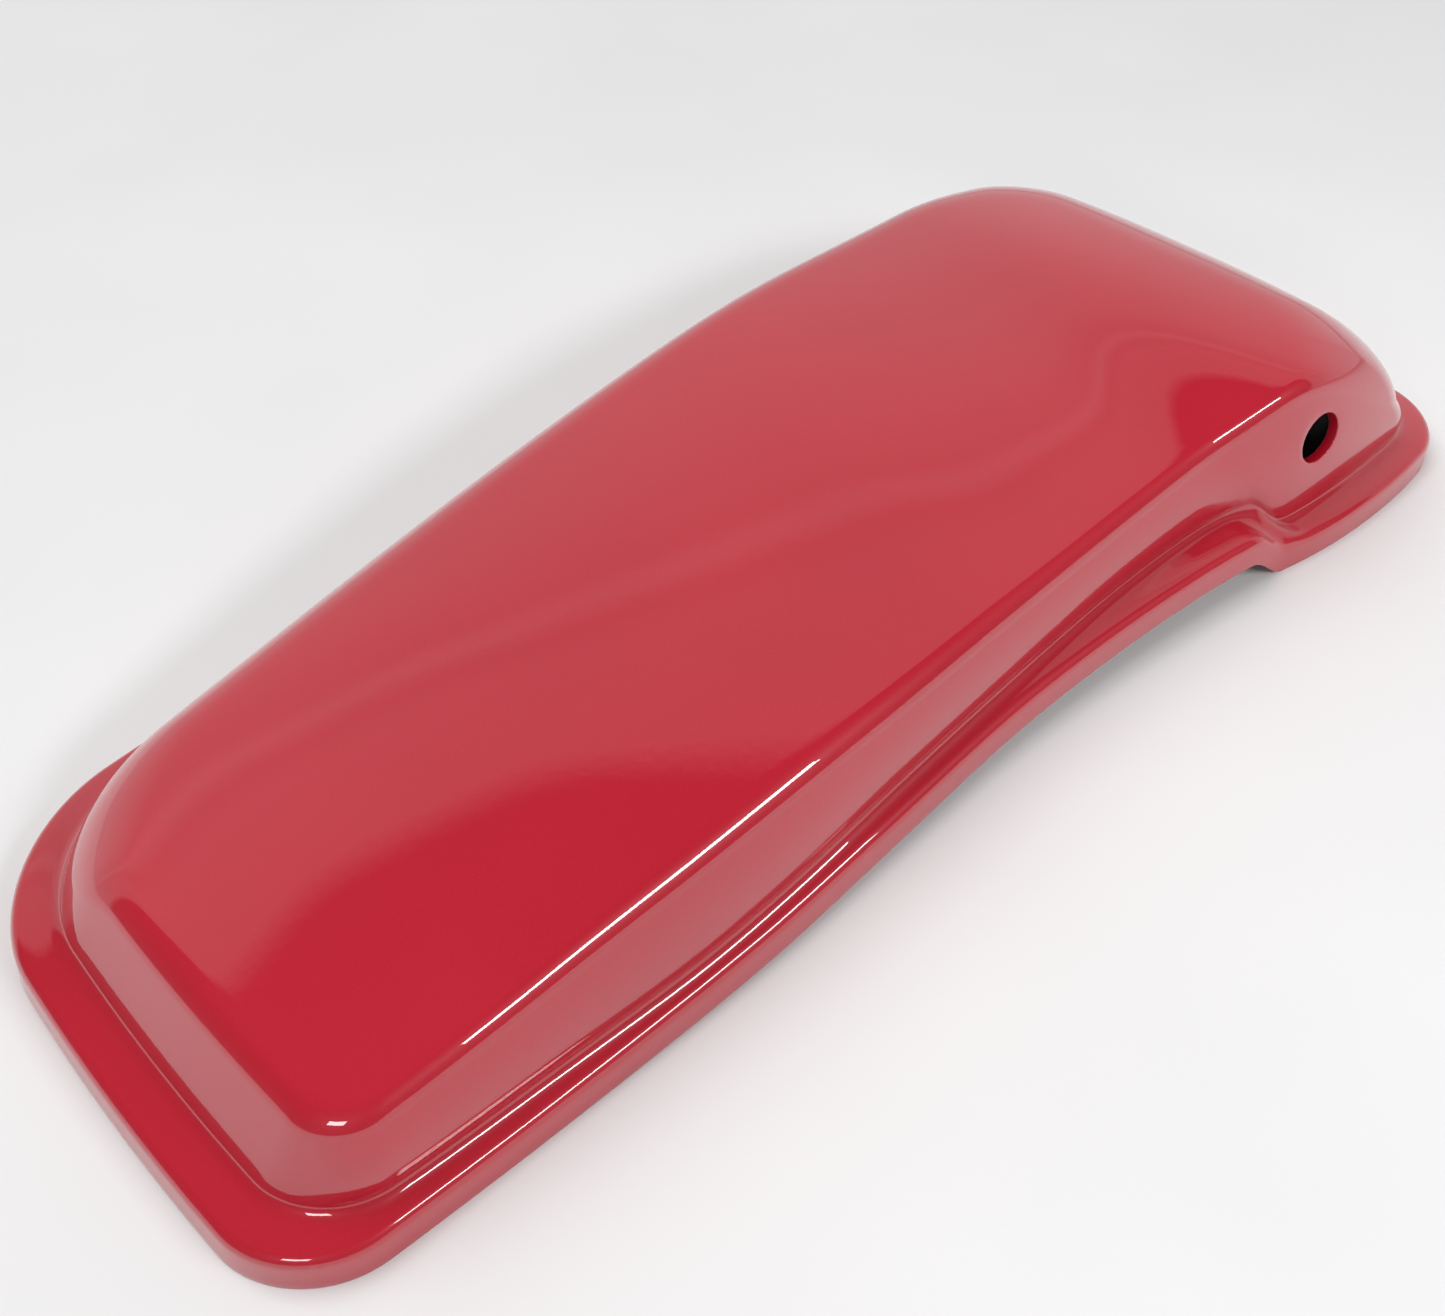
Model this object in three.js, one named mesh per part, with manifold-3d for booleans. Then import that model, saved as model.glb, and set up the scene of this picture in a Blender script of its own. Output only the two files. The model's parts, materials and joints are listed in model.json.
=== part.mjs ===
// Hard saddlebag lid for a touring motorcycle: a painted moulding with its seal, its two hinges and
// the sliding latch that works behind its lock hole.
// Units are millimetres. +X points to the tall, wide end of the lid, -Y is the outer side with the
// lock hole, +Y is the hinge side, +Z is up. The lid stands on its rim at Z = 0.

import * as THREE from 'three';
import { mergeVertices } from 'three/addons/utils/BufferGeometryUtils.js';
import Module from 'manifold-3d';

const wasm = await Module();
wasm.setup();

// ------------------------------------------------------------------ driving dimensions: moulding

const wall = 4; // thickness of the moulding
const fit = 0.3; // gap between pieces that touch
const skirtHeight = 13.5; // rim land to the corner between skirt and ledge
const footHeight = 15.5; // rim land to the foot of the side wall

// Plan lines of the lid, each a list of [x, y] stations along its length.
const nearRimStations = [
  [-300, -84], [-260, -87.5], [-200, -91.5], [-120, -95.5], [-60, -95], [0, -94], [35, -95],
  [80, -98.5], [125, -104], [148, -108], [168, -112], [185, -116], [205, -119.5], [235, -122],
  [265, -121.5], [300, -117],
];
const farRimStations = [[-300, 126], [-200, 133], [0, 137], [200, 135], [300, 128]];
const nearFootStations = [
  [-300, -72], [-260, -78], [-200, -83], [-143, -87.5], [-100, -88], [-43, -86], [0, -85],
  [50, -84.5], [90, -85], [137, -88.5], [158, -93.5], [175, -101.5], [195, -105.5], [235, -108.5],
  [265, -108], [300, -103],
];
const nearEdgeStations = [
  [-300, -66], [-260, -72.5], [-209, -76.5], [-172, -78], [-132, -80], [-88, -81], [-40, -81.5],
  [16, -81], [76, -81.5], [132, -84], [155, -88.5], [178, -93.5], [200, -97], [235, -100],
  [265, -99], [300, -94],
];

// Height lines of the lid, each a list of [x, z] stations.
const nearEdgeHeights = [
  [-300, 46], [-250, 49.5], [-209, 53.5], [-172, 57], [-132, 60], [-88, 61.5], [-40, 62],
  [16, 62.5], [76, 64], [132, 69], [155, 74.5], [178, 80.5], [207, 84], [240, 85], [300, 85],
];
const farEdgeHeights = [
  [-300, 36], [-248, 40], [-200, 48.5], [-128, 61.5], [-51, 73.5], [34, 83.5], [80, 85.5],
  [130, 85.5], [184, 85], [300, 85],
];
// How far the roof's middle stands above a straight line from edge to edge.
const crownHeights = [[-300, 4], [-200, 6], [-60, 8.5], [60, 9.5], [140, 8], [200, 5.5], [300, 5]];
// Beyond `start` the roof rolls down toward the wide end as part of an ellipse.
const endRoll = { start: 165, length: 124, drop: 42 };

// The two ends bow outward: [x at the middle of the end, y of that middle, bow per mm squared].
const narrowEnd = { x: -304.2, middle: 5, bow: 0.0005 };
const wideEnd = { x: 306.5, middle: 5, bow: -0.0005 };

// How far each corner line lies inside the rim line, where it isn't listed above.
const skirtInset = { near: 0.8, far: 1.5, narrow: 2.5, wide: 1.5 };
const footInset = { far: 16, narrow: 17.5, wide: 13 };
const edgeInset = { far: 24, narrow: 35, wide: 42 };

// Plan radii of the four corners: narrow-near, wide-near, wide-far, narrow-far.
const rimRadii = [33, 28, 47, 58];
const skirtRadii = [32, 27, 46, 57];
const footRadii = [26, 26, 40, 51];
const edgeRadii = [17, 27, 33, 48];

// The near rim arches off the ground and drops back in one slanted step.
const arch = { height: 14, start: -235, full: 165 };
const step = { start: 160, length: 27, slant: 0.9, slantOrigin: -95 };
const archFade = { start: -20, length: 50 }; // the arch belongs to the near side only

const skirtRounding = 3.5;
const footRounding = 4.5;
const edgeRounding = { near: 7, far: 21, farWide: 30, wide: 52 };
const spine = { start: -205, end: 150, y: 5 };

const lock = { x: 193, z: 51, radius: 10.8, tilt: 5 };

// ------------------------------------------------------------------ driving dimensions: fittings

const hinge = {
  places: [-130, 150],
  axisY: 129.5,
  axisZ: 4.6,
  barrel: 3.4,
  pin: 1.7,
  bore: 2.0,
  width: 50,
  leaf: 2,
  middleKnuckle: 18,
  padFace: 106.3,
  leafTop: 40,
  screwSpread: 15,
  screwHeight: 30,
  bagLeafEnd: 92,
};
const notch = { halfWidth: 30, top: 9, inner: 126 };

const bar = { start: -152, end: 160, y: -69.4, thick: 3, bottom: 31, top: 41 };
const guide = { places: [-100, 112], halfWidth: 12, sheet: 1.5, padFace: -72, top: 52, bottom: 28 };
const hook = { places: [-62, 62], width: 14, sheet: 2.5, bottom: 5, nose: 13, noseHeight: 7 };
const lever = { x: 152, z: 56, reach: 20, sheet: 2.5, pivot: 3, arm: 26 };
const leverPlate = { start: 138, end: 174, bottom: 44, top: 64, sheet: 2, padFace: -74 };
const spring = { start: -149.4, end: -112.4, radius: 6.4, wire: 0.75, turns: 7 };

// ------------------------------------------------------------------ small tools

const clamp01 = (t) => Math.min(1, Math.max(0, t));
const smooth = (t) => clamp01(t) ** 2 * (3 - 2 * clamp01(t));
const mix = (a, b, t) => a + (b - a) * t;
const offset = (line, distance) => (x) => line(x) + distance;

// A smooth line through stations, with the slope at each station taken from its neighbours.
function smoothLine(stations) {
  const slopes = stations.map((station, i) => {
    const before = stations[Math.max(0, i - 1)];
    const after = stations[Math.min(stations.length - 1, i + 1)];
    return (after[1] - before[1]) / (after[0] - before[0]);
  });
  return (x) => {
    let i = 0;
    while (i < stations.length - 2 && x > stations[i + 1][0]) i += 1;
    const [x0, y0] = stations[i];
    const [x1, y1] = stations[i + 1];
    const length = x1 - x0;
    const t = (x - x0) / length;
    if (t < 0) return y0 + (x - x0) * slopes[i];
    if (t > 1) return y1 + (x - x1) * slopes[i + 1];
    const startSlope = slopes[i] * length;
    const endSlope = slopes[i + 1] * length;
    const cubic = 2 * (y0 - y1) + startSlope + endSlope;
    const square = -3 * (y0 - y1) - 2 * startSlope - endSlope;
    return ((cubic * t + square) * t + startSlope) * t + y0;
  };
}

function toSolid(geometry) {
  geometry.deleteAttribute('normal');
  geometry.deleteAttribute('uv');
  const merged = mergeVertices(geometry, 1e-4);
  return new wasm.Manifold(
    new wasm.Mesh({
      numProp: 3,
      vertProperties: new Float32Array(merged.attributes.position.array),
      triVerts: new Uint32Array(merged.index.array),
    }),
  );
}

function toGeometry(solid) {
  const mesh = solid.getMesh();
  const geometry = new THREE.BufferGeometry();
  geometry.setAttribute('position', new THREE.BufferAttribute(mesh.vertProperties, 3));
  geometry.setIndex(new THREE.BufferAttribute(mesh.triVerts, 1));
  return geometry;
}

function block(x0, x1, y0, y1, z0, z1) {
  const geometry = new THREE.BoxGeometry(x1 - x0, y1 - y0, z1 - z0);
  return toSolid(geometry.translate((x0 + x1) / 2, (y0 + y1) / 2, (z0 + z1) / 2));
}

// A round bar along X from x0 to x1.
function rodX(radius, x0, x1, y, z, sides = 16) {
  const geometry = new THREE.CylinderGeometry(radius, radius, x1 - x0, sides);
  return toSolid(geometry.rotateZ(Math.PI / 2).translate((x0 + x1) / 2, y, z));
}

// A round bar along Y from y0 to y1.
function rodY(radius, y0, y1, x, z, sides = 14) {
  const geometry = new THREE.CylinderGeometry(radius, radius, y1 - y0, sides);
  return toSolid(geometry.translate(x, (y0 + y1) / 2, z));
}

// A flat plate whose outline is drawn in X and Z and which fills y0 to y1.
function plateY(outline, y0, y1) {
  const shape = new THREE.Shape(outline.map(([x, z]) => new THREE.Vector2(x, z)));
  const geometry = new THREE.ExtrudeGeometry(shape, { depth: y1 - y0, bevelEnabled: false });
  return toSolid(geometry.rotateX(Math.PI / 2).translate(0, y1, 0));
}

// A section drawn in Y and Z, extruded along X from x0 to x1.
function barX(section, x0, x1) {
  const shape = new THREE.Shape(section.map(([y, z]) => new THREE.Vector2(y, z)));
  const geometry = new THREE.ExtrudeGeometry(shape, { depth: x1 - x0, bevelEnabled: false });
  return toSolid(geometry.rotateX(Math.PI / 2).rotateZ(Math.PI / 2).translate(x0, 0, 0));
}

// ------------------------------------------------------------------ the lid's surface

const nearRim = smoothLine(nearRimStations);
const farRim = smoothLine(farRimStations);
const nearFoot = smoothLine(nearFootStations);
const nearEdge = smoothLine(nearEdgeStations);
const nearEdgeZ = smoothLine(nearEdgeHeights);
const farEdgeZ = smoothLine(farEdgeHeights);
const crownZ = smoothLine(crownHeights);
const narrowRim = (y) => narrowEnd.x + narrowEnd.bow * (y - narrowEnd.middle) ** 2;
const wideRim = (y) => wideEnd.x + wideEnd.bow * (y - wideEnd.middle) ** 2;

// Height of the rim land above the ground.
function rimLift(x, y) {
  const rise = arch.height * smooth((x - arch.start) / (arch.full - arch.start));
  const along = x + step.slant * (step.slantOrigin - y) - step.start;
  const drop = 1 - smooth(along / step.length);
  return rise * drop * smooth((archFade.start - y) / archFade.length);
}

const detail = { end: 4, corner: 4, side: 28 }; // steps on half an end, a corner and a side
const sideShares = [[0, 0], [0.56, 0.8], [0.86, 0.915], [1, 1]]; // steps crowd at the rim's step

// Where along a side the step number i of `detail.side` lies, from 0 to 1.
function sideFraction(i) {
  const t = i / detail.side;
  const next = sideShares.findIndex(([share]) => share >= t);
  if (next === 0) return 0;
  const [share0, place0] = sideShares[next - 1];
  const [share1, place1] = sideShares[next];
  return mix(place0, place1, (t - share0) / (share1 - share0));
}

// Half an outline: from the middle of the narrow end, round one corner, along one side, round the
// next corner, to the middle of the wide end. `turn` is -1 on the near side and 1 on the far side.
function halfOutline(side, narrow, wide, turn, narrowRadius, wideRadius) {
  const meet = (end) => {
    let y = 0;
    for (let i = 0; i < 20; i += 1) y = side(end(y));
    return new THREE.Vector2(end(y), y);
  };
  const narrowCorner = meet(narrow);
  const wideCorner = meet(wide);
  const sideStart = narrowCorner.x + narrowRadius;
  const sideEnd = wideCorner.x - wideRadius;
  const endPoint = (end, y) => new THREE.Vector2(end(y), y);
  const sidePoint = (x) => new THREE.Vector2(x, side(x));
  const roundCorner = (from, corner, to) => {
    const kappa = 0.5523;
    const curve = new THREE.CubicBezierCurve(
      from, from.clone().lerp(corner, kappa), to.clone().lerp(corner, kappa), to,
    );
    return curve.getPoints(detail.corner).slice(0, -1);
  };
  const points = [];
  const narrowStop = narrowCorner.y - turn * narrowRadius;
  const wideStop = wideCorner.y - turn * wideRadius;
  for (let i = 0; i < detail.end; i += 1) {
    points.push(endPoint(narrow, mix(narrowEnd.middle, narrowStop, i / detail.end)));
  }
  points.push(...roundCorner(endPoint(narrow, narrowStop), narrowCorner, sidePoint(sideStart)));
  for (let i = 0; i < detail.side; i += 1) {
    points.push(sidePoint(mix(sideStart, sideEnd, sideFraction(i))));
  }
  points.push(...roundCorner(sidePoint(sideEnd), wideCorner, endPoint(wide, wideStop)));
  for (let i = 0; i <= detail.end; i += 1) {
    points.push(endPoint(wide, mix(wideStop, wideEnd.middle, i / detail.end)));
  }
  return points;
}

// Both halves of one corner line, `depth` inside the painted face.
function cornerLine(near, inset, radii, depth) {
  const narrow = offset(narrowRim, inset.narrow + depth);
  const wide = offset(wideRim, -inset.wide - depth);
  const [narrowNear, wideNear, wideFar, narrowFar] = radii.map((radius) => radius - depth);
  const far = offset(farRim, -inset.far - depth);
  return [
    halfOutline(offset(near, depth), narrow, wide, -1, narrowNear, wideNear),
    halfOutline(far, narrow, wide, 1, narrowFar, wideFar),
  ];
}

const rise = (points, height) => points.map((p) => new THREE.Vector3(p.x, p.y, height(p)));
const onRim = (height) => (p) => rimLift(p.x, p.y) + height;

// Height of the painted roof, which also holds the sharp line where roof and wall would meet.
function roofHeight(p) {
  const nearY = nearEdge(p.x);
  const farY = farRim(p.x) - edgeInset.far;
  const t = clamp01((p.y - nearY) / (farY - nearY));
  const across = mix(nearEdgeZ(p.x), farEdgeZ(p.x), t) + 4 * t * (1 - t) * crownZ(p.x);
  const along = clamp01((p.x - endRoll.start) / endRoll.length);
  return across - endRoll.drop * (1 - Math.sqrt(1 - along ** 2));
}

// The rounding of the top edge: crisp on the near side and narrow end, soft on the other two.
function edgeRadius(p) {
  const far = mix(edgeRounding.far, edgeRounding.farWide, smooth((p.x - 60) / 130));
  const side = mix(edgeRounding.near, far, smooth((p.y - 40) / 50));
  return mix(side, edgeRounding.wide, smooth((p.x - 171) / 88));
}

// Points of a rounded corner at `corner` on the way from `from` to `to`.
function roundedCorner(from, corner, to, radius, steps) {
  const reach = Math.min(radius, 0.48 * corner.distanceTo(from), 0.48 * corner.distanceTo(to));
  const start = corner.clone().lerp(from, reach / corner.distanceTo(from));
  const end = corner.clone().lerp(to, reach / corner.distanceTo(to));
  const startPull = start.clone().lerp(corner, 0.56);
  const endPull = end.clone().lerp(corner, 0.56);
  return new THREE.CubicBezierCurve3(start, startPull, endPull, end).getPoints(steps);
}

// Rounding of the top edge and then the roof, from the side wall to the spine point `ridge`.
function edgeAndRoof(foot, edge, ridge, depth, edgeSteps, roofSteps) {
  const radius = Math.max(3, edgeRadius(edge) - depth);
  const wallLength = edge.distanceTo(foot);
  const down = edge.clone().lerp(foot, Math.min(radius, 0.86 * wallLength - 2) / wallLength);
  const run = Math.hypot(ridge.x - edge.x, ridge.y - edge.y);
  const start = Math.min(0.6, radius / run);
  const roof = (t) => {
    const point = edge.clone().lerp(ridge, t);
    point.z = roofHeight(point) - depth;
    return point;
  };
  const roofStart = roof(start);
  const nudge = 0.01;
  const slope = roof(start + nudge).sub(roofStart).divideScalar(nudge);
  const startPull = down.clone().lerp(edge, 0.56);
  const endPull = roofStart.clone().addScaledVector(slope, -0.56 * start);
  const rounding = new THREE.CubicBezierCurve3(down, startPull, endPull, roofStart);
  const points = rounding.getPoints(edgeSteps);
  for (let i = 1; i <= roofSteps; i += 1) points.push(roof(mix(start, 1, i / roofSteps)));
  return points;
}

// The spine point for each step of a half outline, spaced like the near top edge.
function spinePoints(edgeLine) {
  const lengths = [0];
  edgeLine.slice(1).forEach((p, i) => lengths.push(lengths[i] + p.distanceTo(edgeLine[i])));
  const total = lengths[lengths.length - 1];
  return lengths.map((length) => {
    const t = length / total;
    const x = mix(spine.start, spine.end, mix(t, smooth(t), 0.35));
    return new THREE.Vector3(x, spine.y, 0);
  });
}

// The rings of one skin, from the rim land up to the spine. Each ring goes once round the lid.
function skinRings(depth, edgeSteps, roofSteps) {
  const rim = cornerLine(nearRim, { far: 0, narrow: 0, wide: 0 }, rimRadii, depth);
  const skirtNear = offset(nearRim, skirtInset.near);
  const skirt = cornerLine(skirtNear, skirtInset, skirtRadii, depth);
  const foot = cornerLine(nearFoot, footInset, footRadii, depth);
  const edge = cornerLine(nearEdge, edgeInset, edgeRadii, depth);
  const ridge = spinePoints(cornerLine(nearEdge, edgeInset, edgeRadii, 0)[0]);
  const halves = [0, 1].map((half) => {
    const rimPoints = rise(rim[half], onRim(0));
    const skirtPoints = skirt[half].map((p, i) => {
      return new THREE.Vector3(p.x, p.y, rimPoints[i].z + skirtHeight - depth);
    });
    const footPoints = rise(foot[half], onRim(footHeight - depth));
    const edgePoints = rise(edge[half], (p) => roofHeight(p) - depth);
    return rimPoints.map((rimPoint, i) => {
      const skirtSharp = Math.max(1, skirtRounding - 0.6 * depth);
      const footSoft = footRounding + 0.7 * depth;
      return [
        rimPoint,
        ...roundedCorner(rimPoint, skirtPoints[i], footPoints[i], skirtSharp, 2),
        ...roundedCorner(skirtPoints[i], footPoints[i], edgePoints[i], footSoft, 2),
        ...edgeAndRoof(footPoints[i], edgePoints[i], ridge[i], depth, edgeSteps, roofSteps),
      ];
    });
  });
  const [near, far] = halves;
  const around = [...near, ...far.slice(1, -1).reverse()];
  return near[0].map((_, level) => around.map((column) => column[level]));
}

// Triangles between two rings that face outward when `upper` lies above or inside `lower`.
function bridge(triangles, lower, upper) {
  lower.forEach((point, i) => {
    const j = (i + 1) % lower.length;
    triangles.push([point, lower[j], upper[j]], [point, upper[j], upper[i]]);
  });
}

function bridgeAll(triangles, rings) {
  rings.slice(1).forEach((ring, i) => bridge(triangles, rings[i], ring));
}

function trianglesToSolid(triangles) {
  const same = (a, b) => a.distanceTo(b) < 1e-3;
  const whole = triangles.filter(([a, b, c]) => !same(a, b) && !same(b, c) && !same(a, c));
  const geometry = new THREE.BufferGeometry();
  const values = whole.flat().flatMap((p) => [p.x, p.y, p.z]);
  geometry.setAttribute('position', new THREE.Float32BufferAttribute(values, 3));
  return toSolid(geometry);
}

// The space inside the lid, `depth` inside the painted face, closed off below the rim. A fitting
// that lies against the moulding is a block trimmed by this space.
function cavity(depth) {
  const rings = skinRings(depth, 2, 3);
  const floor = -5;
  const ground = rings[0].map((p) => new THREE.Vector3(p.x, p.y, floor));
  const triangles = [];
  bridgeAll(triangles, [ground, ...rings]);
  const half = ground.length / 2;
  for (let i = 0; i < half; i += 1) {
    const far = (k) => ground[(ground.length - k) % ground.length];
    triangles.push([ground[i], far(i), far(i + 1)], [ground[i], far(i + 1), ground[i + 1]]);
  }
  return trianglesToSolid(triangles);
}

// ------------------------------------------------------------------ materials

const paint = new THREE.MeshStandardMaterial({ color: 0xa8142a, roughness: 0.12, metalness: 0 });
const rubber = new THREE.MeshStandardMaterial({ color: 0x17171a, roughness: 0.85, metalness: 0 });
const plastic = new THREE.MeshStandardMaterial({ color: 0x232326, roughness: 0.6, metalness: 0 });
const zinc = new THREE.MeshStandardMaterial({ color: 0x9a9c9e, roughness: 0.4, metalness: 0.9 });
const steel = new THREE.MeshStandardMaterial({ color: 0x6f7276, roughness: 0.35, metalness: 0.9 });

const lid = new THREE.Group();

function addPart(name, solid, material, parent = lid) {
  const mesh = new THREE.Mesh(toGeometry(solid), material);
  mesh.name = name;
  parent.add(mesh);
  return mesh;
}

// ------------------------------------------------------------------ lid shell

function lidShell() {
  const outer = skinRings(0, 4, 4);
  const inner = skinRings(wall, 2, 3);
  const triangles = [];
  bridgeAll(triangles, outer);
  bridge(triangles, inner[0], outer[0]);
  const inside = [];
  bridgeAll(inside, inner);
  inside.forEach(([a, b, c]) => triangles.push([a, c, b]));
  let shell = trianglesToSolid(triangles);
  const drill = new THREE.CylinderGeometry(lock.radius, lock.radius, 40, 32);
  drill.rotateX(THREE.MathUtils.degToRad(-lock.tilt)).translate(lock.x, nearEdge(lock.x), lock.z);
  shell = shell.subtract(toSolid(drill));
  hinge.places.forEach((x) => {
    const outside = farRim(x) + 5;
    const cut = block(x - notch.halfWidth, x + notch.halfWidth, notch.inner, outside, -1, notch.top);
    shell = shell.subtract(cut);
  });
  return shell;
}

addPart('lid_shell', lidShell(), paint);

// ------------------------------------------------------------------ seal

const sealSection = [[-2.6, -7.2], [2.6, -7.2], [3, -4.4], [2, -1.4], [-2, -1.4], [-3, -4.4]];

// A strip of seal that follows the groove under the ledge from ring place `first` to `last`.
function sealStrip(first, last) {
  const skirt = cornerLine(offset(nearRim, skirtInset.near), skirtInset, skirtRadii, wall);
  const foot = cornerLine(nearFoot, footInset, footRadii, wall);
  const around = ([near, far]) => [...near, ...far.slice(1, -1).reverse()];
  const outerLine = rise(around(skirt), onRim(skirtHeight - wall));
  const innerLine = rise(around(foot), onRim(footHeight - wall));
  const sections = [];
  for (let i = first; i <= last; i += 1) {
    const outside = outerLine[i % outerLine.length];
    const inside = innerLine[i % innerLine.length];
    const across = inside.clone().sub(outside).normalize();
    const middle = outside.clone().lerp(inside, 0.5);
    sections.push(sealSection.map(([u, w]) => {
      const point = middle.clone().addScaledVector(across, u);
      point.z += w;
      return point;
    }));
  }
  const triangles = [];
  const sides = sealSection.length;
  sections.slice(1).forEach((section, i) => {
    for (let k = 0; k < sides; k += 1) {
      const next = (k + 1) % sides;
      const back = sections[i];
      triangles.push([back[k], section[next], section[k]], [back[k], back[next], section[next]]);
    }
  });
  const start = sections[0];
  const end = sections[sections.length - 1];
  for (let k = 1; k < sides - 1; k += 1) {
    triangles.push([start[0], start[k + 1], start[k]], [end[0], end[k], end[k + 1]]);
  }
  return trianglesToSolid(triangles);
}

const ringSteps = 2 * (2 * detail.end + 2 * detail.corner + detail.side);

// The ring places on the far side whose x lies between two limits.
function farPlaces(low, high) {
  const foot = cornerLine(nearFoot, footInset, footRadii, wall)[1];
  const places = foot.map((p, i) => ({ x: p.x, place: ringSteps - i }));
  return places.filter(({ x }) => x > low && x < high).map(({ place }) => place);
}

const sealClear = hinge.width / 2 + 6;
const [rearHinge, frontHinge] = hinge.places;
const beyondFront = farPlaces(frontHinge + sealClear, wideEnd.x - footInset.wide - footRadii[2]);
const beforeRear = farPlaces(narrowEnd.x + footInset.narrow + footRadii[3], rearHinge - sealClear);
const betweenHinges = farPlaces(rearHinge + sealClear, frontHinge - sealClear);
const sealStart = Math.min(...beforeRear) - ringSteps;
const sealEnd = Math.max(...beyondFront);

addPart('seal_outer', sealStrip(sealStart + ringSteps, sealEnd + ringSteps), rubber);
addPart('seal_hinge_side', sealStrip(Math.min(...betweenHinges), Math.max(...betweenHinges)), rubber);

// ------------------------------------------------------------------ hinges

const innerSpace = cavity(wall + fit);

// Button-head screw along Y. Its head faces -Y when `turn` is -1, and its seat is at Y = 0.
function buttonScrew(headRadius, headHeight, shankRadius, shankLength, turn) {
  const profile = [
    [0, -shankLength], [shankRadius, -shankLength], [shankRadius, 0], [headRadius, 0],
    [headRadius * 0.92, headHeight * 0.55], [headRadius * 0.6, headHeight], [0, headHeight],
  ].map(([x, y]) => new THREE.Vector2(x, y));
  const body = toSolid(new THREE.LatheGeometry(profile, 12));
  const socket = new THREE.CylinderGeometry(headRadius * 0.36, headRadius * 0.36, headHeight, 6);
  const screw = body.subtract(toSolid(socket.translate(0, headHeight, 0)));
  const geometry = toGeometry(screw);
  return turn > 0 ? toSolid(geometry) : toSolid(geometry.rotateX(Math.PI));
}

function hingePad(x) {
  const half = hinge.width / 2 + 4;
  let pad = block(x - half, x + half, hinge.padFace, 130, 15, hinge.leafTop + 2).intersect(innerSpace);
  [-1, 1].forEach((side) => {
    const hole = rodY(2.4, 100, 112, x + side * hinge.screwSpread, hinge.screwHeight);
    pad = pad.subtract(hole);
  });
  return pad;
}

function lidLeaf() {
  const half = hinge.width / 2;
  const barrelTop = hinge.axisZ + hinge.barrel;
  const face = hinge.padFace - fit;
  const section = [
    [face - hinge.leaf, barrelTop - hinge.leaf], [hinge.axisY, barrelTop - hinge.leaf],
    [hinge.axisY, barrelTop], [face, barrelTop], [face, hinge.leafTop],
    [face - hinge.leaf, hinge.leafTop],
  ];
  let leaf = barX(section, -half, half);
  leaf = leaf.add(rodX(hinge.barrel, -half, half, hinge.axisY, hinge.axisZ));
  leaf = leaf.subtract(rodX(hinge.bore, -half - 1, half + 1, hinge.axisY, hinge.axisZ));
  const gap = hinge.middleKnuckle / 2 + fit;
  const clear = hinge.barrel + 0.4;
  const window = block(-gap, gap, hinge.axisY - clear, hinge.axisY + clear, 0, barrelTop + 1);
  leaf = leaf.subtract(window);
  [-1, 1].forEach((side) => {
    leaf = leaf.subtract(rodY(2.4, 90, 110, side * hinge.screwSpread, hinge.screwHeight));
  });
  return leaf;
}

function bagLeaf() {
  const half = hinge.width / 2;
  const bottom = hinge.axisZ - hinge.barrel;
  const knuckle = hinge.middleKnuckle / 2;
  const plateEnd = hinge.axisY - hinge.barrel - 0.6;
  let leaf = block(-half, half, hinge.bagLeafEnd, plateEnd, bottom, bottom + hinge.leaf);
  leaf = leaf.add(block(-knuckle, knuckle, plateEnd - 1, hinge.axisY, bottom, bottom + hinge.leaf));
  leaf = leaf.add(rodX(hinge.barrel, -knuckle, knuckle, hinge.axisY, hinge.axisZ));
  leaf = leaf.subtract(rodX(hinge.bore, -knuckle - 1, knuckle + 1, hinge.axisY, hinge.axisZ));
  [-1, 1].forEach((side) => {
    const hole = new THREE.CylinderGeometry(2.7, 2.7, 8, 14).rotateX(Math.PI / 2);
    hole.translate(side * hinge.screwSpread, hinge.bagLeafEnd + 13, bottom);
    leaf = leaf.subtract(toSolid(hole));
  });
  return leaf;
}

function hingePin() {
  const half = hinge.width / 2 + 1.2;
  const head = rodX(hinge.barrel * 0.85, half - 0.9, half + 0.9, hinge.axisY, hinge.axisZ);
  return rodX(hinge.pin, -half, half, hinge.axisY, hinge.axisZ).add(head);
}

hinge.places.forEach((x, i) => {
  const end = ['rear', 'front'][i];
  const set = new THREE.Group();
  set.position.x = x;
  lid.add(set);
  addPart(`hinge_pad_${end}`, hingePad(x), plastic);
  addPart(`hinge_lid_leaf_${end}`, lidLeaf(), zinc, set);
  addPart(`hinge_bag_leaf_${end}`, bagLeaf(), zinc, set);
  addPart(`hinge_pin_${end}`, hingePin(), steel, set);
  [-1, 1].forEach((side, k) => {
    const screw = addPart(`hinge_screw_${end}_${k + 1}`, buttonScrew(4.5, 2.4, 2, 6, -1), steel, set);
    const seat = hinge.padFace - fit - hinge.leaf - fit;
    screw.position.set(side * hinge.screwSpread, seat, hinge.screwHeight);
  });
});

// ------------------------------------------------------------------ latch

const barFront = bar.y + bar.thick;
const barMiddle = (bar.bottom + bar.top) / 2;

function guidePad(x) {
  const half = guide.halfWidth + 2;
  const raw = block(x - half, x + half, -120, guide.padFace, guide.bottom, guide.top);
  let pad = raw.intersect(innerSpace);
  [-1, 1].forEach((side) => {
    pad = pad.subtract(rodY(1.9, -78, guide.padFace + 1, x + side * 7, guide.top - 4.5));
  });
  return pad;
}

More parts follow.
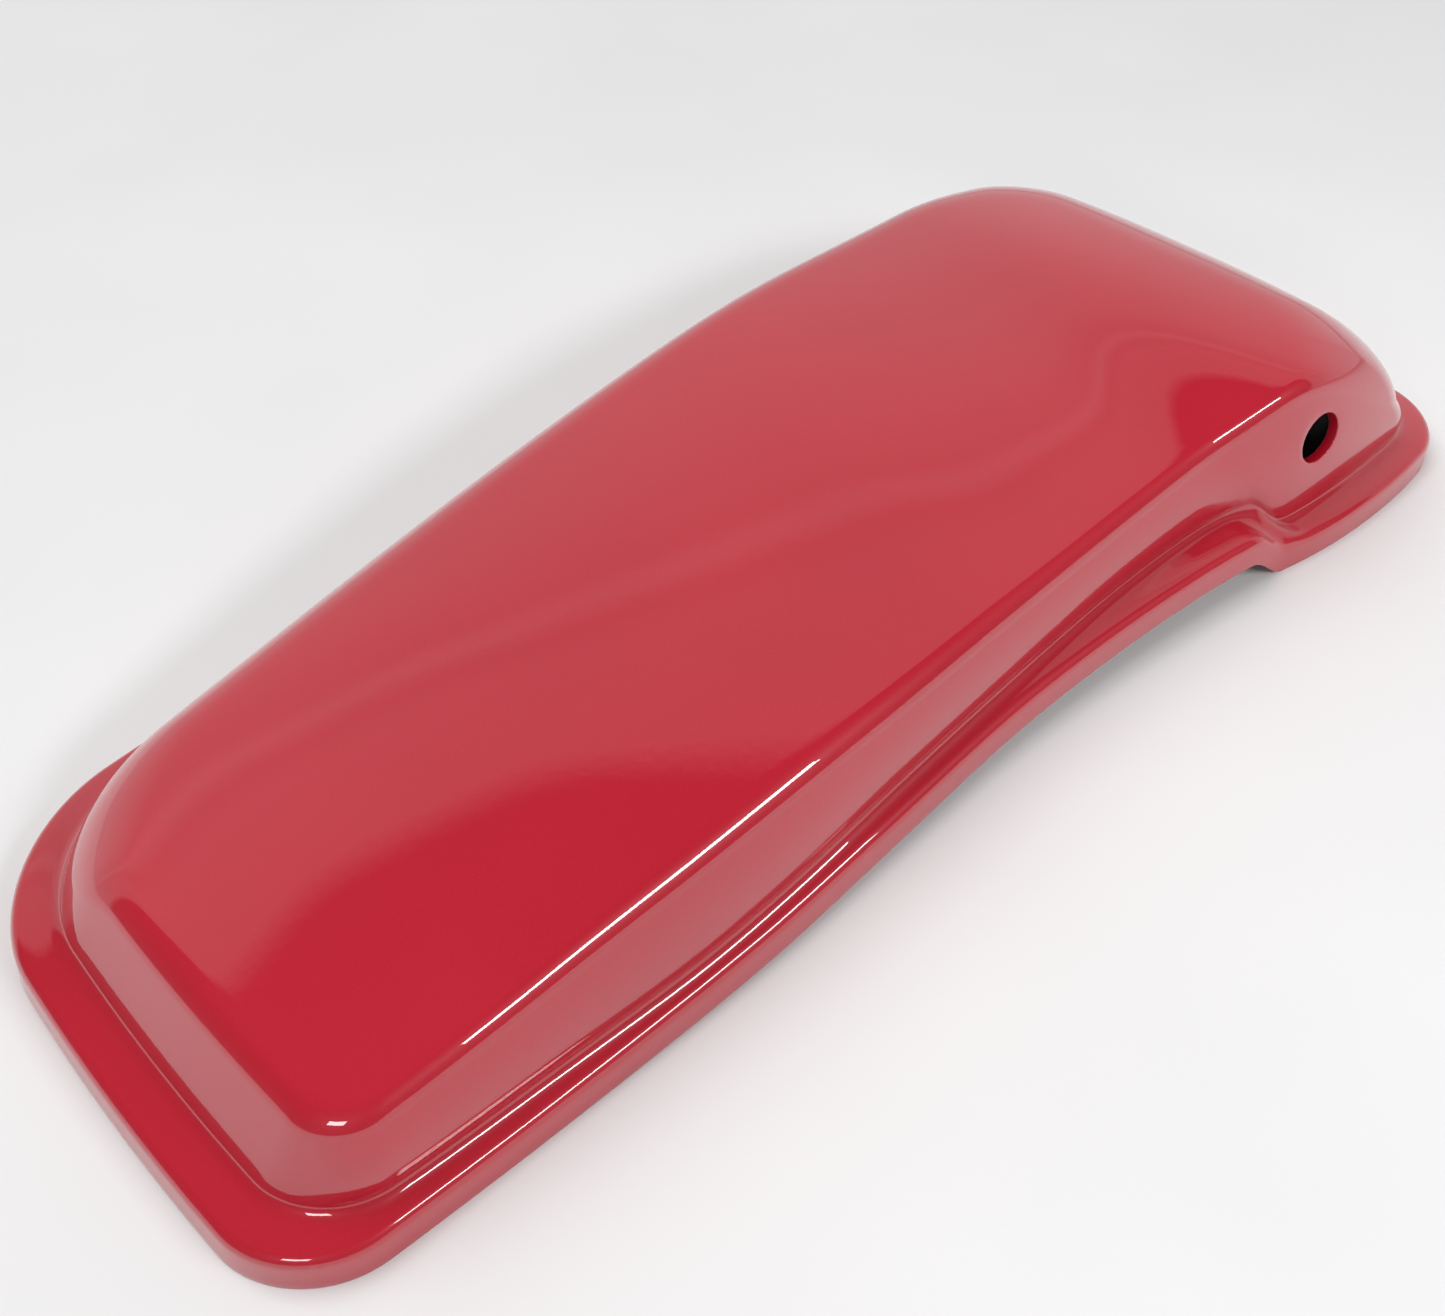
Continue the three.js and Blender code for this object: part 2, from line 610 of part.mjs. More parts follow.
// The guide wraps the bar, with the bar's play all round, and hangs on a screwed back plate.
function barGuide() {
  const back = guide.padFace + fit;
  const play = 0.4;
  const front = barFront + play + guide.sheet;
  const low = bar.bottom - play - guide.sheet;
  const high = bar.top + play + guide.sheet;
  const outline = [[back, low], [front, low], [front, high], [back + guide.sheet, high],
    [back + guide.sheet, guide.top], [back, guide.top]];
  let body = barX(outline, -guide.halfWidth, guide.halfWidth);
  const half = guide.halfWidth + 1;
  const slotBack = Math.max(back + guide.sheet, bar.y - play);
  const slot = block(-half, half, slotBack, barFront + play, bar.bottom - play, bar.top + play);
  body = body.subtract(slot);
  [-1, 1].forEach((side) => {
    body = body.subtract(rodY(1.9, back - 1, back + 3, side * 7, guide.top - 4.5));
  });
  return body;
}

function latchBar() {
  let body = block(bar.start, bar.end, bar.y, barFront, bar.bottom, bar.top);
  const slot = plateY([[lever.x - 2.2, bar.bottom + 1.6], [lever.x + 2.2, bar.bottom + 1.6],
    [lever.x + 2.2, bar.top - 1.6], [lever.x - 2.2, bar.top - 1.6]], bar.y - 1, barFront + 1);
  body = body.subtract(slot);
  hook.places.forEach((x) => {
    body = body.subtract(rodY(2.3, bar.y - 1, barFront + 1, x, barMiddle));
  });
  return body;
}

function latchHook() {
  const half = hook.width / 2;
  const tip = -half - hook.nose;
  const noseTop = hook.bottom + hook.noseHeight;
  const outline = [
    [half, bar.top], [-half, bar.top], [-half, noseTop + 3], [-half - 3, noseTop - 1],
    [tip + 4, noseTop], [tip, noseTop], [tip + 3, hook.bottom], [half - 4, hook.bottom],
    [half, hook.bottom + 4],
  ];
  const back = barFront + fit;
  let body = plateY(outline, back, back + hook.sheet);
  body = body.subtract(rodY(2.3, back - 1, back + hook.sheet + 1, 0, barMiddle));
  return body;
}

// A rivet through bar and hook, with a set head on each side.
function hookRivet() {
  const back = bar.y - fit;
  const front = barFront + fit + hook.sheet + fit;
  const shank = rodY(2, back, front, 0, barMiddle);
  const frontHead = rodY(3.4, front, front + 1.4, 0, barMiddle);
  const backHead = rodY(3.4, back - 1, back, 0, barMiddle);
  return shank.add(frontHead).add(backHead);
}

const leverBack = barFront + fit;
const leverFront = leverBack + lever.sheet;

// Bell crank: one arm carries a peg that works in the bar's slot, the other meets the lock's cam.
function drivingLever() {
  const outline = [
    [-5, -lever.reach], [-3, -lever.reach - 4], [3, -lever.reach - 4], [5, -lever.reach],
    [7, -6], [lever.arm - 2, -8], [lever.arm, -5], [lever.arm, 0], [6, 5], [0, 7], [-5, 5], [-7, 0],
  ];
  const placed = outline.map(([x, z]) => [lever.x + x, lever.z + z]);
  let body = plateY(placed, leverBack, leverFront);
  body = body.subtract(rodY(lever.pivot + 0.3, leverBack - 1, leverFront + 1, lever.x, lever.z));
  return body.add(rodY(1.7, bar.y - 0.2, leverBack + 0.5, lever.x, lever.z - lever.reach));
}

function leverPad() {
  const { start, end, bottom, top, padFace } = leverPlate;
  let pad = block(start, end, -120, padFace, bottom, top).intersect(innerSpace);
  [start + 6, end - 6].forEach((x) => {
    pad = pad.subtract(rodY(1.9, -82, padFace + 1, x, top - 5));
  });
  pad = pad.subtract(rodY(lever.pivot + 3, -82, padFace + 1, lever.x, lever.z));
  return pad;
}

function leverBackPlate() {
  const { start, end, bottom, top, padFace, sheet } = leverPlate;
  const back = padFace + fit;
  let plate = block(start, end, back, back + sheet, bottom, top);
  [start + 6, end - 6].forEach((x) => {
    plate = plate.subtract(rodY(1.9, back - 1, back + sheet + 1, x, top - 5));
  });
  return plate.subtract(rodY(lever.pivot + fit, back - 1, back + sheet + 1, lever.x, lever.z));
}

function leverStud() {
  const back = leverPlate.padFace + fit;
  const shaft = rodY(lever.pivot, back - 1.5, leverFront + fit, lever.x, lever.z);
  const collar = rodY(5, back + leverPlate.sheet + fit, leverBack - fit, lever.x, lever.z);
  const head = rodY(5.4, leverFront + fit, leverFront + fit + 1.6, lever.x, lever.z);
  return shaft.add(collar).add(head);
}

class Helix extends THREE.Curve {
  getPoint(t, target = new THREE.Vector3()) {
    const angle = t * spring.turns * 2 * Math.PI;
    const x = mix(spring.start + spring.wire, spring.end - spring.wire, t);
    const y = bar.y + bar.thick / 2 + spring.radius * Math.cos(angle);
    return target.set(x, y, barMiddle + spring.radius * Math.sin(angle));
  }
}

function returnSpring() {
  const section = new THREE.Shape();
  section.absarc(0, 0, spring.wire, 0, 2 * Math.PI, false);
  const geometry = new THREE.ExtrudeGeometry(section, {
    steps: spring.turns * 10,
    curveSegments: 3,
    extrudePath: new Helix(),
  });
  return toSolid(geometry);
}

// The collar on the end of the bar that the spring pushes against.
function springCollar() {
  const play = 0.3;
  const start = bar.start + 0.6;
  const end = spring.start - fit;
  const outer = rodX(spring.radius + 1.6, start, end, barFront - bar.thick / 2, barMiddle);
  const back = bar.y - play;
  const front = barFront + play;
  const slot = block(bar.start, spring.start, back, front, bar.bottom - play, bar.top + play);
  return outer.subtract(slot);
}

addPart('latch_bar', latchBar(), steel);
addPart('latch_spring', returnSpring(), steel);
addPart('spring_collar', springCollar(), plastic);
hook.places.forEach((x, i) => {
  const end = ['rear', 'front'][i];
  addPart(`latch_hook_${end}`, latchHook(), zinc).position.x = x;
  addPart(`hook_rivet_${end}`, hookRivet(), steel).position.x = x;
});
guide.places.forEach((x, i) => {
  const end = ['rear', 'front'][i];
  addPart(`guide_pad_${end}`, guidePad(x), plastic);
  addPart(`bar_guide_${end}`, barGuide(), zinc).position.x = x;
  [-1, 1].forEach((side, k) => {
    const screw = addPart(`guide_screw_${end}_${k + 1}`, buttonScrew(3.4, 1.8, 1.6, 5, 1), steel);
    screw.position.set(x + side * 7, guide.padFace + fit + guide.sheet + fit, guide.top - 4.5);
  });
});
addPart('lever_pad', leverPad(), plastic);
addPart('lever_plate', leverBackPlate(), zinc);
addPart('lever_stud', leverStud(), steel);
addPart('lock_lever', drivingLever(), zinc);
[leverPlate.start + 6, leverPlate.end - 6].forEach((x, k) => {
  const screw = addPart(`lever_screw_${k + 1}`, buttonScrew(3.4, 1.8, 1.6, 5, 1), steel);
  screw.position.set(x, leverPlate.padFace + fit + leverPlate.sheet + fit, leverPlate.top - 5);
});

// The origin is under the middle of the lid's footprint.
const bounds = new THREE.Box3().setFromObject(lid);
const middle = bounds.getCenter(new THREE.Vector3());
lid.position.set(-middle.x, -middle.y, -bounds.min.z);

export default lid;
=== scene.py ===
"""Looks of a hard saddlebag lid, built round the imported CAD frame.

The moulding's tables are in millimetres: +X to the tall wide end, -Y to the side with the lock
hole, Z = 0 at the rim. `to_frame` turns such points into the frame's metres.

A ring is a closed line of points round the lid, and a level is a ring with heights. The moulding's
painted and inner skins are stacks of levels from the rim up to the spine, the roof's middle line.
"""

import json
import math

import bmesh
import bpy
import numpy as np
from mathutils import Matrix, Vector


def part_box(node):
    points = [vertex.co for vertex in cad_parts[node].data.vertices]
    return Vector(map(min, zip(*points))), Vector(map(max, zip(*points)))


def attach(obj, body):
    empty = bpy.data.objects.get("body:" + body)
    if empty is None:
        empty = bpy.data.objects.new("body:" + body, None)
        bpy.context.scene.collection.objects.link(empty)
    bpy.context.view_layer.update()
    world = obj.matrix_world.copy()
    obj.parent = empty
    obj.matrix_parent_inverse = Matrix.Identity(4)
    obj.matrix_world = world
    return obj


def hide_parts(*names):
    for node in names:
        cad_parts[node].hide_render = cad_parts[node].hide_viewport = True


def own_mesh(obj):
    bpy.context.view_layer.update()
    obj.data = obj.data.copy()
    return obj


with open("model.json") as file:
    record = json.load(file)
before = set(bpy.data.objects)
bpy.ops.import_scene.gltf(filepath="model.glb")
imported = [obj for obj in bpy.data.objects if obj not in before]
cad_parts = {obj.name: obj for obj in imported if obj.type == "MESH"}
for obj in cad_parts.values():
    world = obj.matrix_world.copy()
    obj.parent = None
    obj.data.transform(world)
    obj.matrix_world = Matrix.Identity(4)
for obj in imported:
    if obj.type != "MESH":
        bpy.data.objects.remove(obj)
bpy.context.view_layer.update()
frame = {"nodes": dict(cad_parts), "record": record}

# ------------------------------------------------------------------ the moulding, in millimetres

WALL = 4.0
SKIRT_HEIGHT = 13.5
FOOT_HEIGHT = 15.5
LIP = 0.4  # rounding of the painted edges round the rim land, the notches and the lock hole

NEAR_RIM = [
    (-300, -84), (-260, -87.5), (-200, -91.5), (-120, -95.5), (-60, -95), (0, -94), (35, -95),
    (80, -98.5), (125, -104), (148, -108), (168, -112), (185, -116), (205, -119.5), (235, -122),
    (265, -121.5), (300, -117),
]
FAR_RIM = [(-300, 126), (-200, 133), (0, 137), (200, 135), (300, 128)]
NEAR_FOOT = [
    (-300, -72), (-260, -78), (-200, -83), (-143, -87.5), (-100, -88), (-43, -86), (0, -85),
    (50, -84.5), (90, -85), (137, -88.5), (158, -93.5), (175, -101.5), (195, -105.5), (235, -108.5),
    (265, -108), (300, -103),
]
NEAR_EDGE = [
    (-300, -66), (-260, -72.5), (-209, -76.5), (-172, -78), (-132, -80), (-88, -81), (-40, -81.5),
    (16, -81), (76, -81.5), (132, -84), (155, -88.5), (178, -93.5), (200, -97), (235, -100),
    (265, -99), (300, -94),
]
NEAR_EDGE_HEIGHT = [
    (-300, 46), (-250, 49.5), (-209, 53.5), (-172, 57), (-132, 60), (-88, 61.5), (-40, 62),
    (16, 62.5), (76, 64), (132, 69), (155, 74.5), (178, 80.5), (207, 84), (240, 85), (300, 85),
]
FAR_EDGE_HEIGHT = [
    (-300, 36), (-248, 40), (-200, 48.5), (-128, 61.5), (-51, 73.5), (34, 83.5), (80, 85.5),
    (130, 85.5), (184, 85), (300, 85),
]
CROWN = [(-300, 4), (-200, 6), (-60, 8.5), (60, 9.5), (140, 8), (200, 5.5), (300, 5)]
END_ROLL = {"start": 165, "length": 124, "drop": 42}
NARROW_END = {"x": -304.2, "middle": 5, "bow": 0.0005}
WIDE_END = {"x": 306.5, "middle": 5, "bow": -0.0005}
RIM_INSET = {"far": 0, "narrow": 0, "wide": 0}
SKIRT_INSET = {"near": 0.8, "far": 1.5, "narrow": 2.5, "wide": 1.5}
FOOT_INSET = {"far": 16, "narrow": 17.5, "wide": 13}
EDGE_INSET = {"far": 24, "narrow": 35, "wide": 42}
RIM_RADII = (33, 28, 47, 58)  # narrow-near, wide-near, wide-far, narrow-far
SKIRT_RADII = (32, 27, 46, 57)
FOOT_RADII = (26, 26, 40, 51)
EDGE_RADII = (17, 27, 33, 48)
ARCH = {"height": 14, "start": -235, "length": 400}
STEP = {"start": 160, "length": 27, "slant": 0.9, "slant_origin": -95}
ARCH_FADE = {"start": -20, "length": 50}
SKIRT_ROUNDING = 3.5
FOOT_ROUNDING = {"ledge": 4, "wall": 3}
EDGE_ROUNDING = {"near": 7, "far": 21, "far_wide": 30, "wide": 52}
LEAST_EDGE_ROUNDING = 3
# Where one edge rounding passes into the next: along x, across in y, and along x again.
FAR_WIDENING = {"start": 60, "length": 130}
NEAR_TO_FAR = {"start": 40, "length": 50}
WIDE_BLEND = {"start": 171, "length": 88}
WALL_BULGE = 2.2  # the near wall swells this far beyond a straight one
BULGE_SIDE = {"start": -60, "length": 15}  # the swell sets in beyond this y
ROOF_SOFTENING = {-14: 1, -7: 4, 0: 6, 7: 4, 14: 1}  # weights of the heights averaged along x
SPINE = {"start": -205, "end": 150, "y": 5, "ease": 0.35}
LOCK = {"x": 193, "z": 51, "radius": 10.8, "tilt": 5, "reach": 20}
HINGES = (-130, 150)
NOTCH_HALF = 30

# Steps of the fine mesh.
END_STEPS = 16
CORNER_STEPS = 26
SIDE_STEPS = 230
SIDE_SHARES = ((0, 0.56, 0.86, 1), (0, 0.8, 0.915, 1))  # steps crowd at the rim's step
STRAIGHT_STEPS = 4
ROUND_STEPS = 8
LEDGE_STEPS = 3
WALL_STEPS = 26
EDGE_STEPS = 16
ROOF_STEPS = 30
LIP_STEPS = 4
PULL = 0.56  # how far the handles of a rounding reach towards its corner
ARC_PULL = 0.5523  # the same for a quarter of a circle
LINE_END = 400  # station lines are drawn out to this x on both sides
INNER_CONVEX = 0.725  # share of the wall's thickness that a convex rounding loses inside
INNER_CONCAVE = 0.7  # share that a concave rounding gains


# ------------------------------------------------------------------ curves


def smooth(t):
    """Eases from 0 to 1 while t does."""
    t = np.clip(t, 0, 1)
    return t * t * (3 - 2 * t)


def past(blend, place):
    """How far a place has gone through a blend, 0 before it and 1 after it."""
    return smooth((place - blend["start"]) / blend["length"])


def mix(a, b, t):
    return a + (b - a) * t


def station_line(stations, softness):
    """A function of x that runs through the stations, softened over about `softness` mm."""
    xs, ys = np.array(stations, float).T
    count = np.arange(len(xs))
    before = np.maximum(count - 1, 0)
    after = np.minimum(count + 1, len(xs) - 1)
    slopes = (ys[after] - ys[before]) / (xs[after] - xs[before])
    fine = np.arange(-LINE_END, LINE_END + 1.0)
    cell = np.clip(np.searchsorted(xs, fine) - 1, 0, len(xs) - 2)
    length = xs[cell + 1] - xs[cell]
    raw = (fine - xs[cell]) / length
    t = np.clip(raw, 0, 1)
    values = (
        (2 * t**3 - 3 * t**2 + 1) * ys[cell]
        + (3 * t**2 - 2 * t**3) * ys[cell + 1]
        + (t**3 - 2 * t**2 + t) * slopes[cell] * length
        + (t**3 - t**2) * slopes[cell + 1] * length
    )
    values += (raw - t) * length * np.where(raw < 0, slopes[0], slopes[-1])
    reach = int(3 * softness)
    kernel = np.exp(-0.5 * (np.arange(-reach, reach + 1) / softness) ** 2)
    padded = np.pad(values, reach, mode="reflect", reflect_type="odd")
    soft = np.convolve(padded, kernel / kernel.sum(), "valid")
    return lambda x: np.interp(x, fine, soft)


near_rim = station_line(NEAR_RIM, 4)
far_rim = station_line(FAR_RIM, 10)
near_foot = station_line(NEAR_FOOT, 5)
near_edge = station_line(NEAR_EDGE, 7)
near_edge_z = station_line(NEAR_EDGE_HEIGHT, 9)
far_edge_z = station_line(FAR_EDGE_HEIGHT, 12)
crown_z = station_line(CROWN, 12)


def near_skirt(x):
    return near_rim(x) + SKIRT_INSET["near"]


def end_line(end, inset):
    """An end's line as a function of y: a shallow bow."""
    return lambda y: end["x"] + inset + end["bow"] * (y - end["middle"]) ** 2


def bezier(controls, t):
    """Points of a cubic curve for each t; the controls may be arrays of points."""
    p0, p1, p2, p3 = controls
    return [
        (1 - u) ** 3 * p0 + 3 * (1 - u) ** 2 * u * p1 + 3 * (1 - u) * u**2 * p2 + u**3 * p3
        for u in t
    ]


def round_corner(start, corner, end):
    """Points of a rounded plan corner, without its end."""
    start, corner, end = (np.array(p, float) for p in (start, corner, end))
    controls = (start, mix(start, corner, ARC_PULL), mix(end, corner, ARC_PULL), end)
    return np.array(bezier(controls, np.arange(CORNER_STEPS) / CORNER_STEPS))


def half_outline(side, narrow, wide, turn, narrow_radius, wide_radius):
    """From the middle of the narrow end round two corners to the middle of the wide end."""

    def meet(end):
        """Where the side crosses an end, found by going back and forth between the two lines."""
        y = 0.0
        for _ in range(20):
            y = float(side(end(y)))
        return np.array([end(y), y])

    narrow_corner, wide_corner = meet(narrow), meet(wide)
    narrow_stop = narrow_corner[1] - turn * narrow_radius
    wide_stop = wide_corner[1] - turn * wide_radius
    first = narrow_corner[0] + narrow_radius
    last = wide_corner[0] - wide_radius
    narrow_y = np.linspace(NARROW_END["middle"], narrow_stop, END_STEPS, endpoint=False)
    wide_y = np.linspace(wide_stop, WIDE_END["middle"], END_STEPS + 1)
    share = np.interp(np.arange(SIDE_STEPS) / SIDE_STEPS, *SIDE_SHARES)
    side_x = mix(first, last, share)
    return np.concatenate([
        np.column_stack([narrow(narrow_y), narrow_y]),
        round_corner((narrow(narrow_stop), narrow_stop), narrow_corner, (first, side(first))),
        np.column_stack([side_x, side(side_x)]),
        round_corner((last, side(last)), wide_corner, (wide(wide_stop), wide_stop)),
        np.column_stack([wide(wide_y), wide_y]),
    ])


def joined(near, far):
    """One closed ring from a near half and a far half."""
    return np.concatenate([near, far[1:-1][::-1]])


def ring(near, inset, radii, depth):
    """The closed outline through a near side line, with its insets from the rim and its radii."""
    narrow = end_line(NARROW_END, inset["narrow"] + depth)
    wide = end_line(WIDE_END, -inset["wide"] - depth)
    narrow_near, wide_near, wide_far, narrow_far = (radius - depth for radius in radii)
    near_half = half_outline(
        lambda x: near(x) + depth, narrow, wide, -1, narrow_near, wide_near
    )
    far_half = half_outline(
        lambda x: far_rim(x) - inset["far"] - depth, narrow, wide, 1, narrow_far, wide_far
    )
    return joined(near_half, far_half)


# ------------------------------------------------------------------ the moulding's surface


def rim_lift(points):
    """Height of the rim land above the ground: the near side arches up and steps down again."""
    x, y = points[:, 0], points[:, 1]
    rise = ARCH["height"] * past(ARCH, x)
    drop = 1 - past(STEP, x + STEP["slant"] * (STEP["slant_origin"] - y))
    return rise * drop * smooth((ARCH_FADE["start"] - y) / ARCH_FADE["length"])


def roof_height_sharp(x, y):
    """Height of the roof before its softening: crowned, and rolled down at the wide end."""
    near_y = near_edge(x)
    far_y = far_rim(x) - EDGE_INSET["far"]
    t = np.clip((y - near_y) / (far_y - near_y), 0, 1)
    across = mix(near_edge_z(x), far_edge_z(x), t) + 4 * t * (1 - t) * crown_z(x)
    along = np.clip((x - END_ROLL["start"]) / END_ROLL["length"], 0, 1)
    return across - END_ROLL["drop"] * (1 - np.sqrt(1 - along**2))


def roof_height(points):
    """Height of the painted roof, averaged a little along x so that the end roll starts softly."""
    x, y = points[:, 0], points[:, 1]
    total = sum(ROOF_SOFTENING.values())
    return sum(w * roof_height_sharp(x + dx, y) for dx, w in ROOF_SOFTENING.items()) / total


def edge_radius(points):
    """How far the rounding of the top edge reaches from it, by the side of the lid."""
    x, y = points[:, 0], points[:, 1]
    far = mix(EDGE_ROUNDING["far"], EDGE_ROUNDING["far_wide"], past(FAR_WIDENING, x))
    side = mix(EDGE_ROUNDING["near"], far, past(NEAR_TO_FAR, y))
    return mix(side, EDGE_ROUNDING["wide"], past(WIDE_BLEND, x))


def lifted(points, height):
    """Plan points with a height, as points in space."""
    return np.column_stack([points, np.broadcast_to(height, len(points))])


def length_of(vectors):
    return np.linalg.norm(vectors, axis=1, keepdims=True)


def rounding(start, corner, end, start_reach, end_reach):
    """Handles of the rounded corner on the way from start to end."""
    most = 0.48  # of the way to the next corner
    to_start, to_end = length_of(start - corner), length_of(end - corner)
    first = corner + (start - corner) * np.minimum(start_reach, most * to_start) / to_start
    last = corner + (end - corner) * np.minimum(end_reach, most * to_end) / to_end
    return first, mix(first, corner, PULL), mix(last, corner, PULL), last


def straight(start, end, steps):
    """Points from start to end, without start."""
    return [mix(start, end, i / steps) for i in range(1, steps + 1)]


def curved(controls, steps):
    """Points of a cubic curve, without its start."""
    return bezier(controls, np.arange(1, steps + 1) / steps)


def spine_ring(edge_ring):
    """The roof's spine point for each place round the lid."""
    half = edge_ring[: len(edge_ring) // 2 + 1]
    steps = np.concatenate([[0], np.linalg.norm(np.diff(half, axis=0), axis=1)])
    t = np.cumsum(steps) / steps.sum()
    x = mix(SPINE["start"], SPINE["end"], mix(t, smooth(t), SPINE["ease"]))
    spine = np.column_stack([x, np.full(len(x), SPINE["y"])])
    return joined(spine, spine)


def wall_levels(start, end):
    """The side wall, which swells outward on the near side."""
    swell = WALL_BULGE * smooth((BULGE_SIDE["start"] - start[:, 1]) / BULGE_SIDE["length"])
    outward = np.array([0, -1, 0])
    shares = np.arange(1, WALL_STEPS + 1) / WALL_STEPS
    levels = straight(start, end, WALL_STEPS)
    return [
        level + np.outer(swell * 4 * t * (1 - t), outward) for t, level in zip(shares, levels)
    ]


def edge_and_roof(foot_round_end, foot, edge, spine, depth):
    """Wall, rounding of the top edge and roof, up to the spine."""
    radius = np.maximum(LEAST_EDGE_ROUNDING, edge_radius(edge) - depth)[:, None]
    wall_length = length_of(edge - foot)
    most_of_wall = 0.86 * wall_length - 2
    down = mix(edge, foot, np.minimum(radius, most_of_wall) / wall_length)
    run = length_of(spine - edge[:, :2])
    most_of_roof = 0.6
    start = np.minimum(most_of_roof, radius / run)

    def roof(t):
        plan = mix(edge[:, :2], spine, t)
        return lifted(plan, roof_height(plan) - depth)

    roof_start = roof(start)
    nudge = 0.01
    slope = (roof(start + nudge) - roof_start) / nudge
    controls = (down, mix(down, edge, PULL), roof_start - slope * PULL * start, roof_start)
    roof_levels = [roof(mix(start, 1, i / ROOF_STEPS)) for i in range(1, ROOF_STEPS + 1)]
    return wall_levels(foot_round_end, down) + curved(controls, EDGE_STEPS) + roof_levels


def skin(depth):
    """One skin of the moulding as a grid [level, place, xyz], `depth` inside the painted face."""
    rim = ring(near_rim, RIM_INSET, RIM_RADII, depth)
    skirt_plan = ring(near_skirt, SKIRT_INSET, SKIRT_RADII, depth)
    foot_plan = ring(near_foot, FOOT_INSET, FOOT_RADII, depth)
    edge_plan = ring(near_edge, EDGE_INSET, EDGE_RADII, depth)
    spine = spine_ring(ring(near_edge, EDGE_INSET, EDGE_RADII, 0))
    lift = rim_lift(rim)
    ground = lifted(rim, lift)
    skirt = lifted(skirt_plan, lift + SKIRT_HEIGHT - depth)
    foot = lifted(foot_plan, rim_lift(foot_plan) + FOOT_HEIGHT - depth)
    edge = lifted(edge_plan, roof_height(edge_plan) - depth)
    skirt_reach = SKIRT_ROUNDING - INNER_CONVEX * depth
    skirt_round = rounding(ground, skirt, foot, skirt_reach, skirt_reach)
    ledge_reach = FOOT_ROUNDING["ledge"] + INNER_CONCAVE * depth
    wall_reach = FOOT_ROUNDING["wall"] + INNER_CONCAVE * depth
    foot_round = rounding(skirt, foot, edge, ledge_reach, wall_reach)
    land = lifted(rim, lift + LIP)
    levels = [land]
    levels += straight(land, skirt_round[0], STRAIGHT_STEPS)
    levels += curved(skirt_round, ROUND_STEPS)
    levels += straight(skirt_round[-1], foot_round[0], LEDGE_STEPS)
    levels += curved(foot_round, ROUND_STEPS)
    levels += edge_and_roof(foot_round[-1], foot, edge, spine, depth)
    return np.array(levels)


outer_skin = skin(0)
inner_skin = skin(WALL)
LEVELS, PLACES = outer_skin.shape[:2]

# The moulding's box in millimetres goes onto the CAD moulding's box in metres.
shell_low, shell_high = (np.array(corner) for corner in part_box("lid_shell"))
plan_low = outer_skin.min(axis=(0, 1))
plan_high = outer_skin.max(axis=(0, 1))
plan_low[2] = 0
frame_scale = (shell_high - shell_low) / (plan_high - plan_low)


def to_frame(points):
    return shell_low + (points - plan_low) * frame_scale


# ------------------------------------------------------------------ openings in the moulding

# The lock's axis runs inward and a little down through the near wall.
tilt = math.radians(LOCK["tilt"])
lock_centre = np.array([LOCK["x"], float(near_edge(LOCK["x"])), LOCK["z"]])
lock_axis = np.array([0, math.cos(tilt), -math.sin(tilt)])


def off_lock(points):
    """Part of each point's place that lies along the lock's axis, and the part across it."""
    rel = points - lock_centre
    along = rel @ lock_axis
    return along, rel - along[..., None] * lock_axis


def near_lock(points, radius):
    """Which points lie within a radius of the lock's axis, in the near wall."""
    along, across = off_lock(points)
    return (np.abs(along) < LOCK["reach"]) & (np.linalg.norm(across, axis=-1) < radius)


def kept_cells():
    """Which cells of the grid are moulding: neither in the lock hole nor in a hinge notch."""
    kept = np.ones((LEVELS - 1, PLACES), bool)
    hole_radius = LOCK["radius"] + LIP
    hole = near_lock(outer_skin, hole_radius) | near_lock(inner_skin, hole_radius)
    for dl in (0, 1):
        for dc in (0, 1):
            kept &= ~np.roll(hole, -dc, axis=1)[dl : dl + LEVELS - 1]
    x, y = outer_skin[0, :, 0], outer_skin[0, :, 1]
    for place in HINGES:
        near_hinge = (np.abs(x - place) < NOTCH_HALF) & (y > 0)
        kept[:STRAIGHT_STEPS, near_hinge & np.roll(near_hinge, -1)] = False
    return kept


def evened(turn):
    """The angles of a closed loop, averaged with their neighbours so that they run one way."""
    rounds = 12
    total = 2 * math.pi * np.sign(turn[-1] - turn[0])
    for _ in range(rounds):
        before = np.append(turn[-1] - total, turn[:-1])
        after = np.append(turn[1:], turn[0] + total)
        turn = (before + 2 * turn + after) / 4
    return turn


def settle_on_lock(grid, loop):
    """Moves the loop of points round the lock hole onto its circle, within the wall's own plane."""
    _, across = off_lock(grid[loop])
    right = np.array([1, 0, 0])
    up = np.cross(lock_axis, right)
    turn = evened(np.unwrap(np.arctan2(across @ up, across @ right)))
    circle = np.outer(np.cos(turn), right) + np.outer(np.sin(turn), up)
    shift = (LOCK["radius"] + LIP) * circle - across
    # The wall's plane, from three points a little outside the loop.
    margin = 2
    levels, places = loop
    low, high = levels.min() - margin, levels.max() + margin
    first, last = places.min() - margin, places.max() + margin
    normal = np.cross(grid[low, last] - grid[low, first], grid[high, first] - grid[low, first])
    shift -= np.outer(shift @ normal / (lock_axis @ normal), lock_axis)
    grid[loop] += shift


# ------------------------------------------------------------------ materials


def new_material(name):
    material = bpy.data.materials.new(name)
    material.use_nodes = True
    tree = material.node_tree
    shader = next(node for node in tree.nodes if node.type == "BSDF_PRINCIPLED")
    return material, tree, shader


def texture_place(tree, scale=(1, 1, 1)):
    """Object coordinates, stretched by scale."""
    place = tree.nodes.new("ShaderNodeTexCoord")
    mapping = tree.nodes.new("ShaderNodeMapping")
    mapping.inputs["Scale"].default_value = scale
    tree.links.new(place.outputs["Object"], mapping.inputs["Vector"])
    return mapping.outputs["Vector"]


